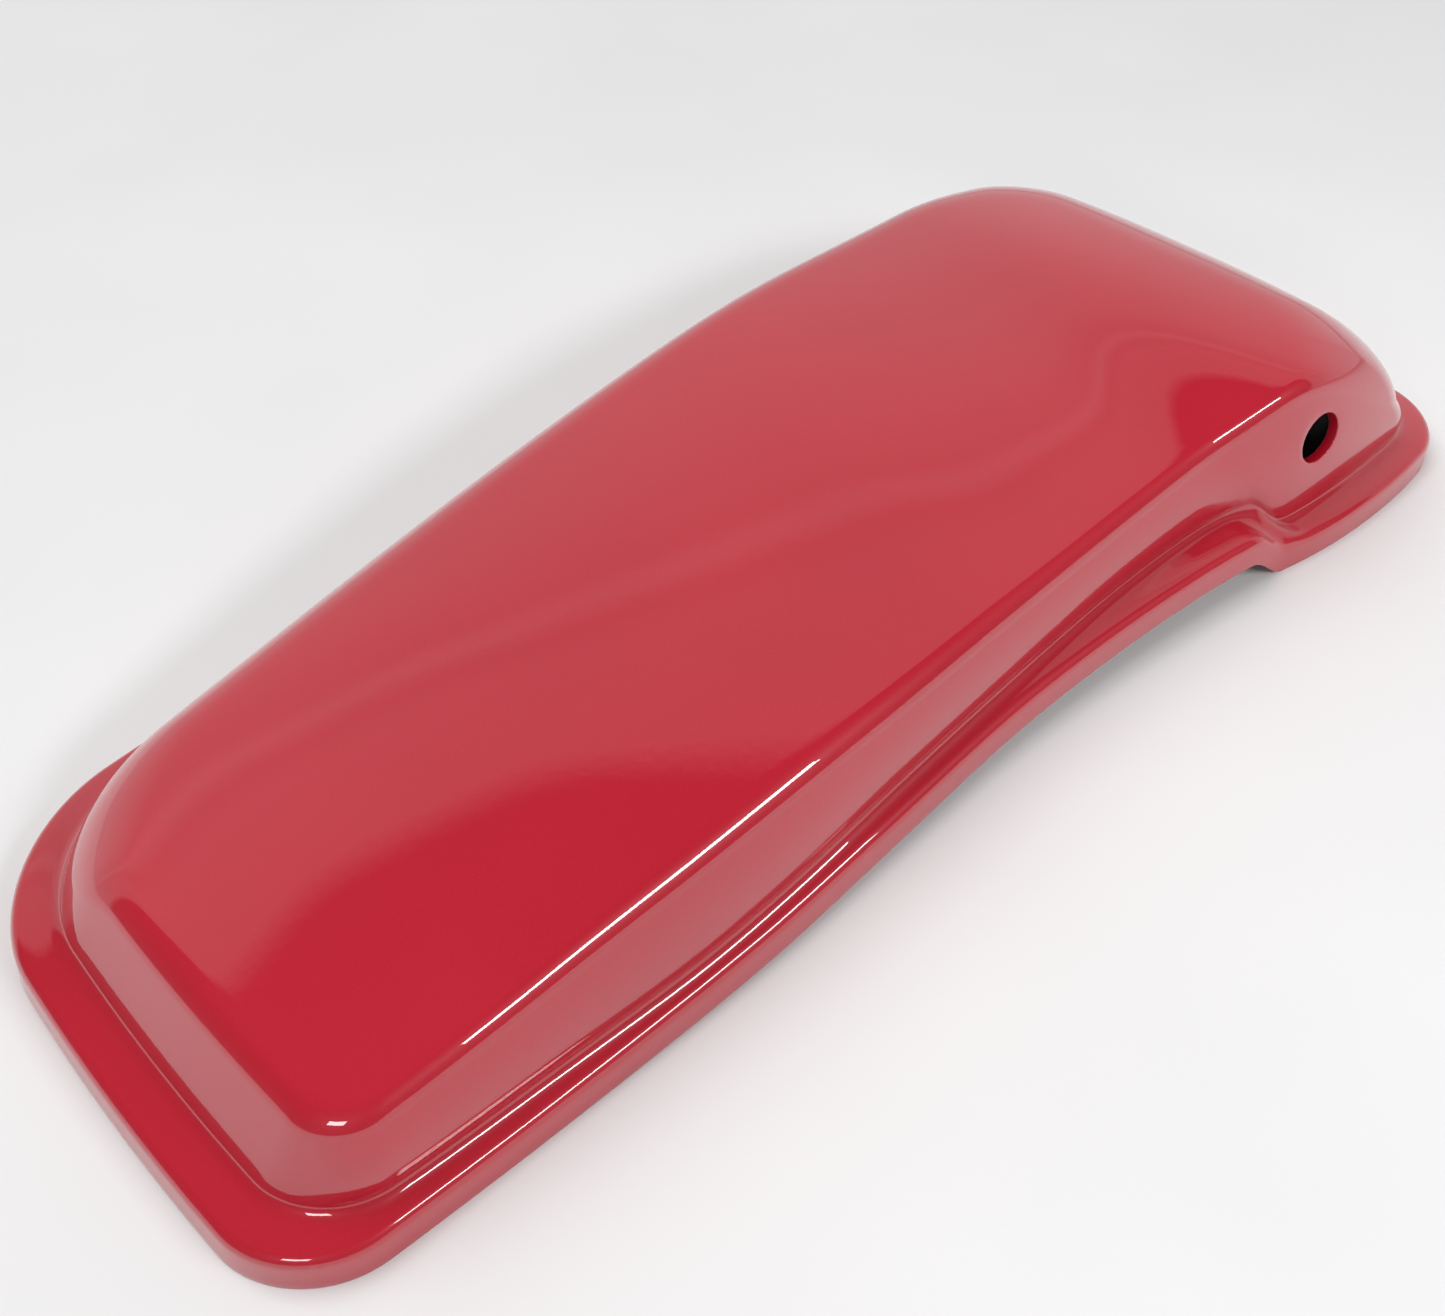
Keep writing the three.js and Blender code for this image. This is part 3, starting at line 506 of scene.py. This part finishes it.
def noise(tree, place, scale, detail=2.0, roughness=0.5):
    node = tree.nodes.new("ShaderNodeTexNoise")
    node.inputs["Scale"].default_value = scale
    node.inputs["Detail"].default_value = detail
    node.inputs["Roughness"].default_value = roughness
    tree.links.new(place, node.inputs["Vector"])
    return node.outputs["Fac"]


def colour_ramp(tree, factor, stops):
    """Colour by factor; stops are (position, (r, g, b))."""
    node = tree.nodes.new("ShaderNodeValToRGB")
    elements = node.color_ramp.elements
    while len(elements) < len(stops):
        elements.new(0.5)
    for element, (position, colour) in zip(elements, stops):
        element.position = position
        element.color = (*colour, 1)
    tree.links.new(factor, node.inputs["Fac"])
    return node.outputs["Color"]


def value_range(tree, factor, low, high, from_low=0.3, from_high=0.7):
    node = tree.nodes.new("ShaderNodeMapRange")
    node.inputs["From Min"].default_value = from_low
    node.inputs["From Max"].default_value = from_high
    node.inputs["To Min"].default_value = low
    node.inputs["To Max"].default_value = high
    tree.links.new(factor, node.inputs["Value"])
    return node.outputs["Result"]


def bump(tree, height, strength, distance, after=None):
    node = tree.nodes.new("ShaderNodeBump")
    node.inputs["Strength"].default_value = strength
    node.inputs["Distance"].default_value = distance
    tree.links.new(height, node.inputs["Height"])
    if after is not None:
        tree.links.new(after, node.inputs["Normal"])
    return node.outputs["Normal"]


def red_paint():
    """Deep red under a gloss clear coat, with a faint orange peel and a fine fleck."""
    material, tree, shader = new_material("red_clear_coat")
    place = texture_place(tree)
    cloud = noise(tree, place, 9, 2)
    fleck = noise(tree, place, 2600, 1)
    shade = colour_ramp(tree, cloud, [(0.3, (0.47, 0.004, 0.02)), (0.7, (0.51, 0.006, 0.024))])
    sparkle = colour_ramp(tree, fleck, [(0.62, (1, 1, 1)), (0.8, (1.4, 1.6, 1.6))])
    product = tree.nodes.new("ShaderNodeMix")
    product.data_type = "RGBA"
    product.blend_type = "MULTIPLY"
    product.inputs["Factor"].default_value = 1
    tree.links.new(shade, product.inputs["A"])
    tree.links.new(sparkle, product.inputs["B"])
    tree.links.new(product.outputs["Result"], shader.inputs["Base Color"])
    tree.links.new(value_range(tree, cloud, 0.38, 0.44), shader.inputs["Roughness"])
    peel = bump(tree, noise(tree, place, 260, 1), 0.03, 0.0003)
    tree.links.new(peel, shader.inputs["Coat Normal"])
    shader.inputs["Specular IOR Level"].default_value = 0.3
    shader.inputs["Coat Weight"].default_value = 1
    shader.inputs["Coat Roughness"].default_value = 0.015
    shader.inputs["Coat IOR"].default_value = 1.75
    return material


def inside_moulding():
    """The unpainted inside: dark moulded plastic with a fine grain and cloudy mould marks."""
    material, tree, shader = new_material("moulding_inside")
    place = texture_place(tree)
    cloud = noise(tree, place, 14, 4)
    grain = noise(tree, place, 1400, 2)
    shade = colour_ramp(tree, cloud, [(0.3, (0.017, 0.017, 0.018)), (0.7, (0.034, 0.033, 0.033))])
    tree.links.new(shade, shader.inputs["Base Color"])
    tree.links.new(value_range(tree, cloud, 0.42, 0.6), shader.inputs["Roughness"])
    tree.links.new(bump(tree, grain, 0.35, 0.0002), shader.inputs["Normal"])
    return material


PAINT = red_paint()
INSIDE = inside_moulding()


# ------------------------------------------------------------------ pieces


def add_piece(name, vertices, faces, materials, body, nodes, face_materials=None):
    """A smooth-shaded mesh that rides on a body and stands for CAD nodes.

    `face_materials` has each face's index in `materials`.
    """
    mesh = bpy.data.meshes.new(name)
    mesh.from_pydata([tuple(v) for v in vertices], [], faces)
    for material in materials:
        mesh.materials.append(material)
    if face_materials is not None:
        mesh.polygons.foreach_set("material_index", face_materials)
    mesh.polygons.foreach_set("use_smooth", [True] * len(mesh.polygons))
    mesh.update()
    piece = bpy.data.objects.new(name, mesh)
    bpy.context.scene.collection.objects.link(piece)
    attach(piece, body)
    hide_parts(*nodes)
    return piece


def grid_vertex(level, place):
    """Number of a grid point; the two halves of the spine share their points."""
    place %= PLACES
    if level == LEVELS - 1:
        place = min(place, PLACES - place)
    return level * PLACES + place


def border_edges(cells):
    """Directed edges that only one cell has: round the rim, the notches and the lock hole."""
    directed = dict.fromkeys((cell[k], cell[(k + 1) % 4]) for cell in cells for k in range(4))
    return [(start, end) for start, end in directed if (end, start) not in directed]


def opening_ways(border):
    """Which way the opening lies from each border vertex, as one or two directions."""
    opening = {}
    for start, end in border:
        level, end_level = start // PLACES, end // PLACES
        if level == end_level:
            away = np.array([0.0, 0.0, -1.0])
        else:
            away = np.array([1.0 if end_level > level else -1.0, 0.0, 0.0])
        for index in (start, end):
            ways = opening.setdefault(index, [])
            if not any(np.allclose(away, way) for way in ways):
                ways.append(away)
    return opening


def loop_round_lock(border, opening):
    """Border vertices round the lock hole, in order."""
    following = dict(border)
    loop = [
        next(
            index for index in opening
            if near_lock(outer_skin[divmod(index, PLACES)], 2 * LOCK["radius"])
        )
    ]
    while following[loop[-1]] != loop[0]:
        loop.append(following[loop[-1]])
    return loop


def lip_points(outside, inside, away):
    """Points of the rounded lip between the two skins, from the painted one to the inner one."""
    through = (inside - outside) / np.linalg.norm(inside - outside)
    turns = [math.pi / 2 * k / LIP_STEPS for k in range(1, LIP_STEPS + 1)]
    points = [
        outside + LIP * (away * math.sin(turn) + through * (1 - math.cos(turn))) for turn in turns
    ]
    points += [
        inside + LIP * (away * math.sin(turn) - through * (1 - math.cos(turn)))
        for turn in reversed(turns)
    ]
    return points


def lid_shell():
    """The moulding: painted skin, inner skin, and rounded lips round its rim and openings."""
    cells = [
        (grid_vertex(i, j), grid_vertex(i, j + 1), grid_vertex(i + 1, j + 1), grid_vertex(i + 1, j))
        for i, j in zip(*np.nonzero(kept_cells()))
    ]
    border = border_edges(cells)
    opening = opening_ways(border)
    lock_loop = loop_round_lock(border, opening)
    loop = tuple(np.array([divmod(index, PLACES) for index in lock_loop]).T)
    for grid in (outer_skin, inner_skin):
        settle_on_lock(grid, loop)

    outer = outer_skin.reshape(-1, 3)
    inner = inner_skin.reshape(-1, 3)
    points = [*outer, *inner]
    size = len(outer)
    faces = list(cells)
    paints = [0] * len(cells)
    faces += [tuple(size + index for index in reversed(cell)) for cell in cells]
    paints += [1] * len(cells)

    on_lock = frozenset(lock_loop)
    profiles = {}
    for index, ways in opening.items():
        away = sum(ways)
        if index in on_lock:
            _, across = off_lock(outer[index])
            away = -across / np.linalg.norm(across)
        lip = lip_points(outer[index], inner[index], away)
        profiles[index] = [index, *range(len(points), len(points) + len(lip)), size + index]
        points += lip
    for start, end in border:
        a, b = profiles[start], profiles[end]
        for k in range(len(a) - 1):
            faces.append((b[k], a[k], a[k + 1], b[k + 1]))
            paints.append(0 if k <= LIP_STEPS else 1)

    used = sorted({index for face in faces for index in face})
    number = {index: k for k, index in enumerate(used)}
    faces = [tuple(number[index] for index in face) for face in faces]
    vertices = to_frame(np.array([points[index] for index in used]))
    add_piece(
        "lid_moulding", vertices, faces, [PAINT, INSIDE], "lid", ["lid_shell"], paints
    )


# ------------------------------------------------------------------ the fittings' materials


def rubber():
    """Black seal rubber, slightly chalky, with a fine moulded grain."""
    material, tree, shader = new_material("seal_rubber")
    place = texture_place(tree)
    cloud = noise(tree, place, 30, 3)
    shade = colour_ramp(tree, cloud, [(0.3, (0.012, 0.012, 0.013)), (0.7, (0.024, 0.024, 0.024))])
    tree.links.new(shade, shader.inputs["Base Color"])
    tree.links.new(value_range(tree, cloud, 0.55, 0.75), shader.inputs["Roughness"])
    tree.links.new(bump(tree, noise(tree, place, 1800, 2), 0.3, 0.0001), shader.inputs["Normal"])
    return material


def black_plastic():
    """Injection-moulded black plastic with a leathery spark-eroded texture."""
    material, tree, shader = new_material("black_plastic")
    place = texture_place(tree)
    cloud = noise(tree, place, 22, 3)
    grain = noise(tree, place, 1100, 3, 0.6)
    shade = colour_ramp(tree, cloud, [(0.3, (0.02, 0.02, 0.021)), (0.7, (0.036, 0.035, 0.035))])
    tree.links.new(shade, shader.inputs["Base Color"])
    tree.links.new(value_range(tree, grain, 0.4, 0.58), shader.inputs["Roughness"])
    tree.links.new(bump(tree, grain, 0.4, 0.00015), shader.inputs["Normal"])
    return material


def metal(name, stops, roughness, stretch, grain_scale, grain_depth):
    """Bare or plated metal: clouded colour, and grain that runs across the stretch."""
    material, tree, shader = new_material(name)
    place = texture_place(tree)
    cloud = noise(tree, place, 60, 4)
    grain = noise(tree, texture_place(tree, stretch), grain_scale, 2)
    tree.links.new(colour_ramp(tree, cloud, stops), shader.inputs["Base Color"])
    tree.links.new(value_range(tree, grain, *roughness), shader.inputs["Roughness"])
    tree.links.new(bump(tree, grain, 0.25, grain_depth), shader.inputs["Normal"])
    shader.inputs["Metallic"].default_value = 1
    return material


RUBBER = rubber()
PLASTIC = black_plastic()
ZINC = metal(
    "zinc_plate", [(0.3, (0.6, 0.57, 0.47)), (0.5, (0.66, 0.65, 0.6)), (0.7, (0.55, 0.58, 0.62))],
    (0.28, 0.42), (1, 1, 1), 900, 0.000012,
)
STEEL = metal(
    "satin_steel", [(0.3, (0.46, 0.46, 0.46)), (0.7, (0.56, 0.55, 0.54))],
    (0.22, 0.38), (0.06, 1, 1), 1500, 0.00004,
)
SPRING_STEEL = metal(
    "spring_steel", [(0.3, (0.22, 0.22, 0.24)), (0.7, (0.34, 0.33, 0.33))],
    (0.25, 0.4), (1, 1, 1), 1200, 0.00003,
)

MATERIALS = {"rubber": RUBBER, "plastic": PLASTIC, "zinc": ZINC, "steel": STEEL}
SHARP_EDGE = math.radians(34)  # edges that bend more are shaded sharp
SOFT_EDGE = math.radians(51)  # the same for the seal and the spring

body_of_node = {
    node: body
    for body, nodes in frame["record"]["behaviour"]["bodies"].items()
    for node in nodes
}


# ------------------------------------------------------------------ tubes


def tube_faces(rings, sides):
    """Faces of a closed-ended tube whose vertices come ring by ring."""
    faces = []
    for i in range(rings - 1):
        for k in range(sides):
            following = (k + 1) % sides
            near, far = i * sides, (i + 1) * sides
            faces.append((near + k, near + following, far + following, far + k))
    last = (rings - 1) * sides
    faces.append(tuple(range(sides))[::-1])
    faces.append(tuple(last + k for k in range(sides)))
    return faces


def signed_volume(vertices, faces):
    """Six times the volume inside the faces, negative if they look inward."""
    points = np.array(vertices)
    points = points - points.mean(axis=0)
    total = 0
    for face in faces:
        for k in range(1, len(face) - 1):
            total += np.dot(points[face[0]], np.cross(points[face[k]], points[face[k + 1]]))
    return total


def outward(vertices, faces):
    """The faces, turned over if they look inward."""
    if signed_volume(vertices, faces) > 0:
        return faces
    return [face[::-1] for face in faces]


# ------------------------------------------------------------------ seal

SEAL_WIDTH = 6.0
SEAL_HEIGHT = 5.8
SEAL_MIDDLE = -4.3  # below the groove's ceiling
SEAL_SIDES = 24
SEAL_SQUARENESS = 0.77  # 1 would make the section an ellipse, 0 a square
SEAL_GAP = 35  # half the break in the seal at each hinge
SEAL_SIDE_ENDS = (-86.5, 111.5)  # ends in x of the piece between the hinges
HINGE_SIDE = 60  # everything beyond this y is the hinge side


def seal_section():
    """A squarish bulb as points (across, up)."""
    points = []
    for turn in np.linspace(0, 2 * math.pi, SEAL_SIDES, endpoint=False):
        c, s = math.cos(turn), math.sin(turn)
        across = math.copysign(abs(c) ** SEAL_SQUARENESS, c) * SEAL_WIDTH / 2
        up = math.copysign(abs(s) ** SEAL_SQUARENESS, s) * SEAL_HEIGHT / 2
        points.append((across, SEAL_MIDDLE + up))
    return points


def seal_lines():
    """The two edges of the groove's ceiling that the seal is glued to."""
    skirt_plan = ring(near_skirt, SKIRT_INSET, SKIRT_RADII, WALL)
    foot_plan = ring(near_foot, FOOT_INSET, FOOT_RADII, WALL)
    outside = lifted(skirt_plan, rim_lift(skirt_plan) + SKIRT_HEIGHT - WALL)
    inside = lifted(foot_plan, rim_lift(foot_plan) + FOOT_HEIGHT - WALL)
    return outside, inside


def seal_strip(name, node, places):
    """The bulb drawn along the groove past the given places of the ring."""
    outside, inside = (line[places] for line in seal_lines())
    middle = (outside + inside) / 2
    across = (inside - outside) / length_of(inside - outside)
    section = seal_section()
    vertices = []
    for centre, way in zip(middle, across):
        for u, up in section:
            vertices.append(centre + way * u + np.array([0, 0, up]))
    faces = tube_faces(len(places), SEAL_SIDES)
    piece = add_piece(name, to_frame(np.array(vertices)), faces, [RUBBER], "lid", [node])
    piece.data.set_sharp_from_angle(angle=SOFT_EDGE)


def seals():
    """The seal in two pieces: all round from hinge to hinge, and between the hinges."""
    x, y = seal_lines()[1][:, :2].T
    order = np.arange(PLACES)
    far_side = y > HINGE_SIDE
    rear, front = HINGES
    beside_rear = far_side & (x > rear - SEAL_GAP)
    beside_front = far_side & (x < front + SEAL_GAP)
    outer = order[~(beside_rear & beside_front)]
    start = int(np.nonzero(np.diff(outer) > 1)[0][0]) + 1
    seal_strip("seal_bulb_outer", "seal_outer", np.roll(outer, -start))
    low, high = SEAL_SIDE_ENDS
    between = order[far_side & (x > low) & (x < high)]
    seal_strip("seal_bulb_hinge_side", "seal_hinge_side", between)


# ------------------------------------------------------------------ turned fittings

TURNED_SIDES = 40


def hexagon_reach(turn):
    """Distance from a hexagon's middle to its outline, where its flats lie 1 from the middle."""
    sixth = math.pi / 3
    return 1 / math.cos((turn + sixth / 2) % sixth - sixth / 2)


def turned(name, node, axis, profile, slot, socket=None):
    """A body turned round axis ("X" or "Y") through the middle of a CAD node's box.

    The profile is (along from the box's low end, radius) in mm. The socket is (half the distance
    across its flats, place of its rim, place of its floor) in mm.
    """
    low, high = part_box(node)
    middle = (low + high) / 2
    turns = [2 * math.pi * k / TURNED_SIDES for k in range(TURNED_SIDES)]
    rings = [(along, [radius] * TURNED_SIDES) for along, radius in profile]
    if socket is not None:
        flats, *places = socket
        hexagon = [flats * hexagon_reach(turn) for turn in turns]
        rings += [(place, hexagon) for place in places]
    vertices = []
    for along, radii in rings:
        for turn, radius in zip(turns, radii):
            u, w = radius * math.cos(turn) / 1000, radius * math.sin(turn) / 1000
            if axis == "X":
                vertices.append((low.x + along / 1000, middle.y + u, middle.z + w))
            else:
                vertices.append((middle.x + w, low.y + along / 1000, middle.z + u))
    faces = outward(vertices, tube_faces(len(rings), TURNED_SIDES))
    piece = add_piece(
        name, vertices, faces, [MATERIALS[slot]], body_of_node[node], [node]
    )
    piece.data.set_sharp_from_angle(angle=SHARP_EDGE)


def dome(start, end, radius, steps, flat):
    """Profile points of a domed head: full radius at start, closing to flat at end."""
    return [
        (
            start + (end - start) * math.sin(math.pi / 2 * i / steps),
            flat + (radius - flat) * math.cos(math.pi / 2 * i / steps),
        )
        for i in range(steps + 1)
    ]


def button_screw(name, node, head_radius, head_height, shank_radius, faces_low):
    """Button-head screw along Y with a hexagon socket; its head faces the low or high end."""
    low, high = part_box(node)
    length = (high.y - low.y) * 1000
    seat = length - head_height
    dome_start = seat + 0.3 * head_height
    flats = 0.36 * head_radius
    socket_rim, socket_floor = length - 0.05, seat + 0.35 * head_height
    profile = [(0, 0.7 * shank_radius), (0.4, shank_radius), (seat, shank_radius)]
    profile += [(seat, 0.97 * head_radius), (seat + 0.12 * head_height, head_radius)]
    profile += dome(dome_start, length, head_radius, 8, 1.25 * flats)
    if faces_low:
        profile = [(length - along, radius) for along, radius in profile]
        socket_rim, socket_floor = length - socket_rim, length - socket_floor
    turned(name, node, "Y", profile, "steel", (flats, socket_rim, socket_floor))


def hinge_pin(name, node):
    """Hinge pin along X: a chamfered rod with a domed head at its high end."""
    low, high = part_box(node)
    length = (high.x - low.x) * 1000
    head, radius, head_radius = 1.8, 1.7, 2.88
    chamfer, bevel = 0.5, 0.18
    profile = [(0, radius - chamfer), (chamfer, radius), (length - head, radius)]
    profile += [(length - head, head_radius - bevel), (length - head + 0.2, head_radius)]
    profile += dome(length - head / 2, length, head_radius, 8, 0.3)
    turned(name, node, "X", profile, "steel")


def rivet(name, node):
    """Rivet along Y with two set heads."""
    low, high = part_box(node)
    length = (high.y - low.y) * 1000
    head_radius, radius = 3.4, 2
    back_height, front_height = 1, 1.4
    profile = dome(0.5, 0, head_radius, 6, 0.4)[::-1]
    profile += [(back_height, head_radius), (back_height, radius)]
    profile += [(length - front_height, radius), (length - front_height, head_radius)]
    profile += dome(length - 1, length, head_radius, 6, 0.4)
    turned(name, node, "Y", profile, "steel")


def lever_stud(name, node):
    """The lever's stud along Y: shaft, collar behind the lever's plate and a head before it."""
    low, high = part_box(node)
    start = low.y * 1000
    length = (high.y - low.y) * 1000
    head = 1.6
    radius, collar_radius, head_radius = 3, 5, 5.4
    chamfer, bevel = 0.4, 0.2
    lever_thickness = 2.8
    gap = 0.3
    plate_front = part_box("lever_plate")[1].y * 1000
    lever_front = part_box("lock_lever")[1].y * 1000
    collar_start = plate_front + gap - start
    collar_end = lever_front - lever_thickness - start
    profile = [(0, radius - chamfer), (chamfer, radius), (collar_start, radius)]
    profile += [(collar_start, collar_radius - bevel), (collar_start + bevel, collar_radius)]
    profile += [(collar_end - bevel, collar_radius), (collar_end, collar_radius - bevel)]
    profile += [(collar_end, radius), (length - head, radius)]
    profile += [(length - head, head_radius - bevel), (length - head + bevel, head_radius)]
    profile += dome(length - head / 2, length, head_radius, 6, 2.2)
    turned(name, node, "Y", profile, "steel")


def turned_fittings():
    """Pins, rivets, screws and the lever's stud."""
    m5 = (4.5, 2.4, 2)  # head radius, head height and shank radius
    m4 = (3.4, 1.8, 1.6)
    for place in ("rear", "front"):
        hinge_pin(f"pin_{place}", f"hinge_pin_{place}")
        rivet(f"rivet_{place}", f"hook_rivet_{place}")
        for number in (1, 2):
            which = f"{place}_{number}"
            button_screw(f"leaf_screw_{which}", f"hinge_screw_{which}", *m5, faces_low=True)
            button_screw(f"bar_screw_{which}", f"guide_screw_{which}", *m4, faces_low=False)
    for number in (1, 2):
        button_screw(f"plate_screw_{number}", f"lever_screw_{number}", *m4, faces_low=False)
    lever_stud("stud", "lever_stud")


# ------------------------------------------------------------------ spring

SPRING_TURNS = 8.5
SPRING_WIRE = 0.75  # radius of the wire
CLOSED_TURNS = 1.3  # wound close at each end
CLOSED_PITCH = 2.04  # of wound-close turns, in radii of the wire
PITCH_SOFTENING = 0.12  # turns over which the pitch changes
STEPS_PER_TURN = 36
WIRE_SIDES = 12


def return_spring():
    """Closed-end compression spring along X, which the latch bar squeezes; the mesh is built at one
    length.
    """
    low, high = (np.array(corner) * 1000 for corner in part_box("latch_spring"))
    middle = (low + high) / 2
    radius = min(high[1] - low[1], high[2] - low[2]) / 2 - SPRING_WIRE
    first, last = low[0] + SPRING_WIRE, high[0] - SPRING_WIRE
    steps = int(SPRING_TURNS * STEPS_PER_TURN)
    closed = CLOSED_TURNS * CLOSED_PITCH * SPRING_WIRE
    stations = [0, CLOSED_TURNS, SPRING_TURNS - CLOSED_TURNS, SPRING_TURNS]
    places = [first, first + closed, last - closed, last]
    forward = np.array([1, 0, 0])
    vertices = []
    for i in range(steps + 1):
        turns = SPRING_TURNS * i / steps
        nearby = [turns + d for d in (-PITCH_SOFTENING, 0, PITCH_SOFTENING)]
        along = np.clip(np.interp(nearby, stations, places).mean(), first, last)
        angle = 2 * math.pi * turns
        out = np.array([0, math.cos(angle), math.sin(angle)])
        centre = np.array([along, middle[1], middle[2]]) + radius * out
        for k in range(WIRE_SIDES):
            turn = 2 * math.pi * k / WIRE_SIDES
            rim = out * math.cos(turn) + forward * math.sin(turn)
            vertices.append((centre + SPRING_WIRE * rim) / 1000)
    faces = outward(vertices, tube_faces(steps + 1, WIRE_SIDES))
    piece = add_piece(
        "spring_coil", vertices, faces, [SPRING_STEEL], "lid", ["latch_spring"]
    )
    piece.data.set_sharp_from_angle(angle=SOFT_EDGE)
    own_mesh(piece)


# ------------------------------------------------------------------ plates, pads and levers


def refined(name, node, slot, width):
    """The CAD node's own shape with its edges broken by `width` mm and its curves smooth."""
    work = bmesh.new()
    work.from_mesh(frame["nodes"][node].data)
    bmesh.ops.remove_doubles(work, verts=work.verts, dist=1e-6)
    bmesh.ops.dissolve_limit(
        work, angle_limit=math.radians(1), verts=work.verts, edges=work.edges
    )
    edges = [
        edge for edge in work.edges
        if len(edge.link_faces) == 2 and edge.calc_face_angle(0) > SHARP_EDGE
    ]
    bmesh.ops.bevel(
        work, geom=edges, offset=width / 1000, segments=2, profile=0.5,
        affect="EDGES", clamp_overlap=True,
    )
    work.verts.index_update()
    vertices = [tuple(vertex.co) for vertex in work.verts]
    faces = [tuple(vertex.index for vertex in face.verts) for face in work.faces]
    work.free()
    piece = add_piece(
        name, vertices, faces, [MATERIALS[slot]], body_of_node[node], [node]
    )
    piece.data.set_sharp_from_angle(angle=SHARP_EDGE)


def plates_and_pads():
    """Sheet-metal and moulded fittings."""
    for place in ("rear", "front"):
        refined(f"lid_leaf_{place}", f"hinge_lid_leaf_{place}", "zinc", 0.25)
        refined(f"bag_leaf_plate_{place}", f"hinge_bag_leaf_{place}", "zinc", 0.25)
        refined(f"leaf_pad_{place}", f"hinge_pad_{place}", "plastic", 0.5)
        refined(f"hook_{place}", f"latch_hook_{place}", "zinc", 0.35)
        refined(f"guide_{place}", f"bar_guide_{place}", "zinc", 0.25)
        refined(f"guide_block_{place}", f"guide_pad_{place}", "plastic", 0.5)
    refined("bar", "latch_bar", "steel", 0.3)
    refined("collar", "spring_collar", "plastic", 0.3)
    refined("lever_block", "lever_pad", "plastic", 0.5)
    refined("lever_back_plate", "lever_plate", "zinc", 0.25)
    refined("lever", "lock_lever", "zinc", 0.35)


lid_shell()
seals()
turned_fittings()
return_spring()
plates_and_pads()

# ------------------------------------------------------------------ camera, floor and light

# The world is bright on one side of a plane through the lid, and dim on the other.
BACKDROP_NORMAL = (0.707, 0.578, -0.408)
# Greys by the share of the way from straight behind that plane (0) to straight before it (1).
BACKDROP_GREYS = [
    (0.0, 0.13), (0.4, 0.1), (0.49, 0.06), (0.507, 0.5), (0.56, 0.52),
    (0.576, 0.45), (0.588, 0.67), (0.6, 0.5), (0.64, 0.6), (1.0, 0.7),
]
FLOOR_HALF = 6  # metres


def set_camera():
    """Looks down on the lid from above its narrow end, on the lock's side."""
    data = bpy.data.cameras.new("camera")
    data.sensor_width = 36
    data.lens = 37.37
    data.clip_start = 0.01
    data.clip_end = 50
    camera = bpy.data.objects.new("camera", data)
    right = Vector((0.7159, -0.6981, -0.0124)).normalized()
    back = Vector((-0.4738, -0.4987, 0.7258))
    back = (back - right * back.dot(right)).normalized()
    up = back.cross(right)
    place = Vector((-0.31615, -0.28896, 0.435))
    camera.matrix_world = Matrix(
        [(right[i], up[i], back[i], place[i]) for i in range(3)] + [(0, 0, 0, 1)]
    )
    bpy.context.scene.collection.objects.link(camera)
    bpy.context.scene.camera = camera


def floor_cloth():
    """Pale, nearly plain floor."""
    material, tree, shader = new_material("floor")
    place = texture_place(tree)
    shade = colour_ramp(
        tree, noise(tree, place, 4, 3), [(0.3, (0.8, 0.8, 0.805)), (0.7, (0.84, 0.84, 0.84))]
    )
    tree.links.new(shade, shader.inputs["Base Color"])
    shader.inputs["Roughness"].default_value = 0.9
    shader.inputs["Specular IOR Level"].default_value = 0.1
    mesh = bpy.data.meshes.new("floor")
    corners = [(-1, -1, 0), (1, -1, 0), (1, 1, 0), (-1, 1, 0)]
    mesh.from_pydata([Vector(corner) * FLOOR_HALF for corner in corners], [], [(0, 1, 2, 3)])
    mesh.materials.append(material)
    floor = bpy.data.objects.new("floor", mesh)
    bpy.context.scene.collection.objects.link(floor)


def area_light(name, place, size, power, mirrored=True):
    """A light that shines at the lid; an unmirrored one leaves no highlight."""
    data = bpy.data.lights.new(name, "AREA")
    data.shape = "RECTANGLE"
    data.size, data.size_y = size
    data.energy = power
    light = bpy.data.objects.new(name, data)
    light.location = place
    light.rotation_euler = (-Vector(place)).to_track_quat("-Z", "Y").to_euler()
    light.visible_glossy = mirrored
    bpy.context.scene.collection.objects.link(light)


def set_world():
    """Pale room: a bright backdrop with one fold in it, and dim behind the camera."""
    world = bpy.data.worlds.new("room")
    world.use_nodes = True
    tree = world.node_tree
    background = next(node for node in tree.nodes if node.type == "BACKGROUND")
    place = tree.nodes.new("ShaderNodeTexCoord")
    before_plane = tree.nodes.new("ShaderNodeVectorMath")
    before_plane.operation = "DOT_PRODUCT"
    before_plane.inputs[1].default_value = BACKDROP_NORMAL
    tree.links.new(place.outputs["Generated"], before_plane.inputs[0])
    share = value_range(tree, before_plane.outputs["Value"], 0, 1, -1, 1)
    stops = [(position, (grey, grey, grey)) for position, grey in BACKDROP_GREYS]
    tree.links.new(colour_ramp(tree, share, stops), background.inputs["Color"])
    background.inputs["Strength"].default_value = 1.0
    bpy.context.scene.world = world


set_camera()
floor_cloth()
set_world()
area_light("window", (0.2, -1.3, 1.0), (0.9, 0.22), 11)
area_light("side_window", (-1.4, -0.6, 0.9), (0.4, 0.25), 3)
area_light("overhead", (-0.7, 1.0, 3), (3, 3), 78, mirrored=False)
bpy.context.scene.view_settings.view_transform = "Standard"
